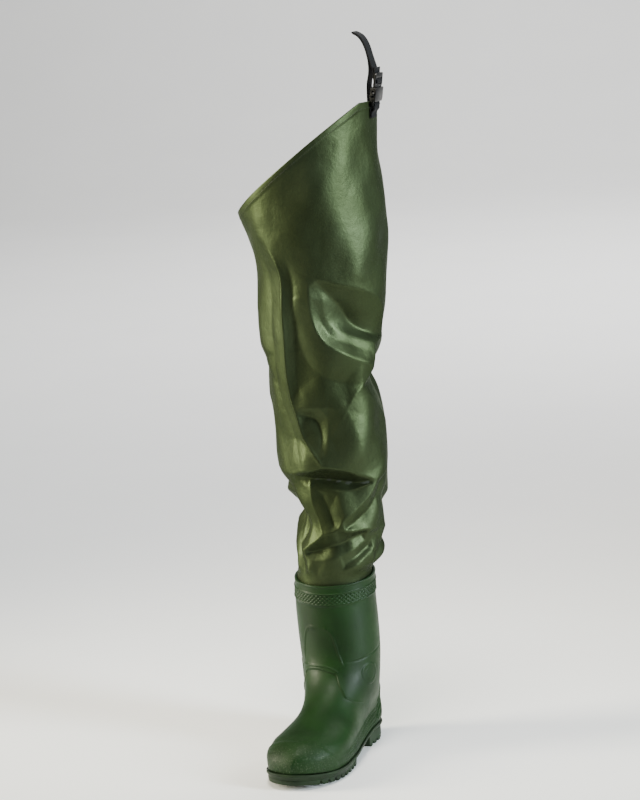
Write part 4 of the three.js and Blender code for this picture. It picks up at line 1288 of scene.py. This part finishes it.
# Acetal: black with a dull sheen from a fine spark-eroded mould, a little paler in random patches.
acetal, acetal_shader, place = new_material("black acetal, spark-eroded")
worn = node(acetal, "ShaderNodeTexNoise", Vector=place, Scale=300, Detail=4, Roughness=0.55)
acetal_tone = node(acetal, "ShaderNodeMix", as_colour, 2, i0=worn, i6=linear("050505"), i7=linear("0f0f0f"))
eroded = node(acetal, "ShaderNodeTexNoise", Vector=place, Scale=3500, Detail=2, Roughness=0.55)
acetal_bump = node(acetal, "ShaderNodeBump", Height=eroded, Strength=0.25, Distance=0.0002)
gloss = node(acetal, "ShaderNodeTexNoise", Vector=place, Scale=500, Detail=3, Roughness=0.55)
gloss = node(acetal, "ShaderNodeMapRange", Value=gloss, From_Min=0.3, From_Max=0.7, To_Min=0.3, To_Max=0.42)
feed(acetal, acetal_shader, Base_Color=acetal_tone, Normal=acetal_bump, Roughness=gloss,
     Specular_IOR_Level=0.3)
for piece, cad_name in ((socket, "buckle_socket"), (plug, "buckle_plug")):
    dress(piece, acetal)
    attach(piece, "root")
    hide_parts(cad_name)


# Webbing. Black polyester strap 20 mm wide, woven with a ribbed face. The tab holds the socket; the
# belt strap is sewn inside the peak, makes a loop for the belt and is threaded through the ladder.
loop_rise = 0.102
ply = web_thickness / 2


def leg_skin(z):
    """How far out the leg's face is under the buckle at a height."""
    spot = np.array([[(mouth_height(0.25) - z) / (mouth_height(0.25) - 0.28)]])
    return leg_point(np.array([[0.25]]), spot)[0, 0, 0]


def in_buckle(out, up):
    """A place in the buckle's frame."""
    return buckle_foot + buckle_out * out + buckle_up * up


def in_loop(out, up):
    """A place out and up from the peak of the leg."""
    return np.array((peak_of_leg[0] + out, peak_of_leg[1], leg_height + up))


def on_skin(drop, plies):
    """The middle of a ply of webbing on the leg's face, under the peak."""
    out = leg_skin(leg_height - drop) + hem_step + (gap + web_thickness) * plies - ply
    return np.array((out, peak_of_leg[1], leg_height - drop))


def smooth_route(points, steps):
    """An even run of places along a smooth route through the given points."""
    points = np.array(points)
    gaps = np.sqrt(np.linalg.norm(np.diff(points, axis=0), axis=1))
    knots = np.concatenate([[0], np.cumsum(gaps)])
    padded = np.concatenate([[2 * points[0] - points[1]], points, [2 * points[-1] - points[-2]]])
    times = np.concatenate([[knots[0] - gaps[0]], knots, [knots[-1] + gaps[-1]]])
    found = []
    for i in range(len(points) - 1):
        t0, t1, t2, t3 = times[i:i + 4]
        p0, p1, p2, p3 = padded[i:i + 4]
        for t in np.linspace(t1, t2, 24, endpoint=False):
            a1 = (t1 - t) / (t1 - t0) * p0 + (t - t0) / (t1 - t0) * p1
            a2 = (t2 - t) / (t2 - t1) * p1 + (t - t1) / (t2 - t1) * p2
            a3 = (t3 - t) / (t3 - t2) * p2 + (t - t2) / (t3 - t2) * p3
            b1 = (t2 - t) / (t2 - t0) * a1 + (t - t0) / (t2 - t0) * a2
            b2 = (t3 - t) / (t3 - t1) * a2 + (t - t1) / (t3 - t1) * a3
            found.append((t2 - t) / (t2 - t1) * b1 + (t - t1) / (t2 - t1) * b2)
    found.append(points[-1])
    found = np.array(found)
    run = np.concatenate([[0], np.cumsum(np.linalg.norm(np.diff(found, axis=0), axis=1))])
    even_run = np.linspace(0, run[-1], steps + 1)
    return np.stack([np.interp(even_run, run, found[:, k]) for k in range(3)], -1), run[-1]


def webbing(name, route, steps):
    """A strap with round edges along a route, with each point's place along and across it kept."""
    path, length = smooth_route(route, steps)
    tangent = np.gradient(path, axis=0)
    tangent /= np.linalg.norm(tangent, axis=1, keepdims=True)
    wide = np.array((0.0, 1.0, 0.0))
    thick = np.cross(tangent, wide)
    angles = np.arange(28) / 28 * 2 * math.pi
    across = np.sign(np.cos(angles)) * np.abs(np.cos(angles)) ** 0.28
    deep = np.sign(np.sin(angles)) * np.abs(np.sin(angles)) ** 0.6
    rings = (path[:, None, :] + across[None, :, None] * wide * web_width / 2
             + deep[None, :, None] * thick[:, None, :] * web_thickness / 2)
    strap = capped_body(name, rings)
    places = np.empty(len(strap.data.vertices) * 3, np.float32)
    strap.data.vertices.foreach_get("co", places)
    places = places.reshape(-1, 3)
    order = ((places[:, None, :] - path[None, :, :]) ** 2)[:, :, (0, 2)].sum(-1).argmin(1)
    marks = strap.data.attributes.new("along", "FLOAT", "POINT")
    marks.data.foreach_set("value", (order * length / steps).astype(np.float32))
    marks = strap.data.attributes.new("across", "FLOAT", "POINT")
    marks.data.foreach_set("value", (places[:, 1] - path[0, 1]).astype(np.float32))
    return strap


turn = frame_bar / 2 + gap * 2 + ply
over = frame_bar + gap * 2 + ply
tab_turns = (
    (-turn, -0.005), (-turn, 0), (-turn, frame_bar + gap), (-turn * 0.45, over), (turn * 0.45, over),
    (turn, frame_bar + gap), (turn, 0), (turn, -0.004),
)
tab_route = [on_skin(0.026, 1), on_skin(0.018, 1)]
tab_route += [in_buckle(out, up) for out, up in tab_turns]
tab_route += [on_skin(0.018, 2), on_skin(0.025, 2)]
tab = webbing("sewn_tab", tab_route, 60)

# The belt strap's places: out and up from the leg's peak on its way up and back, then out and up in
# the buckle's own frame, where it goes through the ladder.
pair = web_thickness + gap * 1.5
strap_inside = leg_wall + ply + gap * 4
strap_up = (
    (-0.0024, 0.025), (0.0009, 0.041), (0.0016, 0.054), (-0.0003, 0.068), (-0.004, 0.081), (-0.0085, 0.0905),
    (-0.0145, 0.0975), (-0.022, loop_rise), (-0.022 - pair * 0.7, loop_rise + pair), (-0.0132, 0.0993),
    (-0.0066, 0.0918), (-0.002, 0.0818), (0.0018, 0.0686),
)
strap_ladder = (
    (-0.0049, 0.049), (-0.0047, 0.043), (-0.0034, 0.0388), (-0.0025, 0.035), (-0.0006, 0.0339),
    (0.0019, 0.0342), (0.0029, 0.0376), (0.0019, 0.0409), (-0.0006, 0.0411), (-0.0025, 0.0418),
    (-0.003, 0.045), (-0.003, 0.05), (-0.0033, 0.058),
)
strap_route = [
    np.array((leg_skin(leg_height - drop) - strap_inside, peak_of_leg[1], leg_height - drop))
    for drop in (0.022, 0.008)
]
strap_route += [in_loop(out, up) for out, up in strap_up]
strap_route += [in_buckle(out, up) for out, up in strap_ladder]
strap = webbing("loop_strap", strap_route, 260)

# Woven polyester: rounded ribs of yarn across the strap, some 2 mm apart, and columns along it. The yarn is
# dull black; the raised crowns of the weave are painted a little grey as a painted highlight.
woven, woven_shader, _ = new_material("woven polyester webbing")
along_mark = node(woven, "ShaderNodeAttribute", {"attribute_name": "along"}, "Fac")
across_mark = node(woven, "ShaderNodeAttribute", {"attribute_name": "across"}, "Fac")
yarn_space = node(woven, "ShaderNodeCombineXYZ", X=along_mark, Y=across_mark)
ribs = node(woven, "ShaderNodeTexWave", {"bands_direction": "X"}, 1, Vector=yarn_space, Scale=150,
            Distortion=0.6)
columns = node(woven, "ShaderNodeTexWave", {"bands_direction": "Y"}, 1, Vector=yarn_space, Scale=180,
               Distortion=0.4)
weave = node(woven, "ShaderNodeMath", as_product, i0=ribs, i1=columns)
# painted highlight: the raised crowns of the weave are drawn paler than the black yarn
yarn_tone_with_painted_highlight = node(woven, "ShaderNodeMix", as_colour, 2, i0=weave, i6=linear("060607"), i7=linear("121214"))
woven_bump = node(woven, "ShaderNodeBump", Height=weave, Strength=0.6, Distance=0.0004)
feed(woven, woven_shader, Base_Color=yarn_tone_with_painted_highlight, Normal=woven_bump, Roughness=0.7, Specular_IOR_Level=0.14)
for piece, cad_name in ((tab, "strap_tab"), (strap, "belt_strap")):
    dress(piece, woven)
    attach(piece, "root")
    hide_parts(cad_name)


# Studio. A pale seamless sweep under and behind the wader, and soft lights: a tall cool one on the
# outer side and a tall warm one on the inner side, which give the cloth its two upright bands of
# sheen, a weak one over the top, and a broad one that makes the ground behind pale.
sweep_front = -8
sweep_flat = 15
sweep_bend = 1.9
sweep_bend_run = 3
sweep_run = 20
sweep_half = 8

bpy.ops.object.select_all(action="DESELECT")
bpy.ops.mesh.primitive_grid_add(x_subdivisions=2, y_subdivisions=48, size=2)
sweep = bpy.context.object
sweep.name = "sweep"
for corner in sweep.data.vertices:
    run = (corner.co.y + 1) / 2 * sweep_run
    past = max(0, run - sweep_flat)
    angle = min(1, past / sweep_bend_run) * math.pi / 2
    y = sweep_front + min(run, sweep_flat) + math.sin(angle) * sweep_bend
    z = (1 - math.cos(angle)) * sweep_bend + max(0, past - sweep_bend_run)
    corner.co = (corner.co.x * sweep_half, y, z)
sweep.data.shade_smooth()
bpy.ops.object.select_all(action="DESELECT")
sweep.select_set(True)
bpy.context.view_layer.objects.active = sweep
bpy.ops.transform.rotate(value=-camera_round, orient_axis="Z", center_override=(0, 0, 0))
bpy.ops.object.transform_apply(location=True, rotation=True, scale=True)
paper, paper_shader, place = new_material("seamless paper")
fleck = node(paper, "ShaderNodeTexNoise", Vector=place, Scale=3, Detail=2, Roughness=0.55)
paper_tone = node(paper, "ShaderNodeMix", as_colour, 2, i0=fleck, i6=linear("f2f2f0"), i7=linear("f7f7f5"))
feed(paper, paper_shader, Base_Color=paper_tone, Roughness=0.9)
dress(sweep, paper)


def softbox(name, turn_of_light, away, height, wide, tall, power, tone, target, spread_angle=180):
    """A soft rectangular light that stands round the wader by so many degrees and faces a target."""
    angle = math.radians(turn_of_light)
    place_of_light = Vector((math.sin(angle) * away, -math.cos(angle) * away, height))
    bpy.ops.object.light_add(type="AREA", location=place_of_light)
    light = bpy.context.object
    light.name = name
    light.data.shape = "RECTANGLE"
    light.data.size = wide
    light.data.size_y = tall
    light.data.energy = power
    light.data.color = linear(tone)[:3]
    light.data.spread = math.radians(spread_angle)
    aim = Vector(target) - place_of_light
    light.rotation_euler = aim.to_track_quat("-Z", "Y").to_euler()


softbox("outer light", 84, 2.0, 1.35, 0.5, 2.1, 40, "dae6ec", (0, 0, 1.0), 76)
softbox("inner light", -66, 2.1, 1.35, 0.6, 2.1, 46, "fcf6dc", (0, 0, 1.0), 76)
softbox("top light", 0, 0.7, 3.2, 0.9, 0.9, 14, "fffaf0", (0, 0, 0.4), 70)
softbox("backdrop light", 180, 4.2, 3.9, 4.0, 3.2, 420, "ffffff", (-1.9, 5.2, 0), 170)
world = bpy.data.worlds.new("pale room")
bpy.context.scene.world = world
world.use_nodes = True
feed(world, world.node_tree.nodes["Background"], Color=linear("eef2f4"), Strength=0.06)
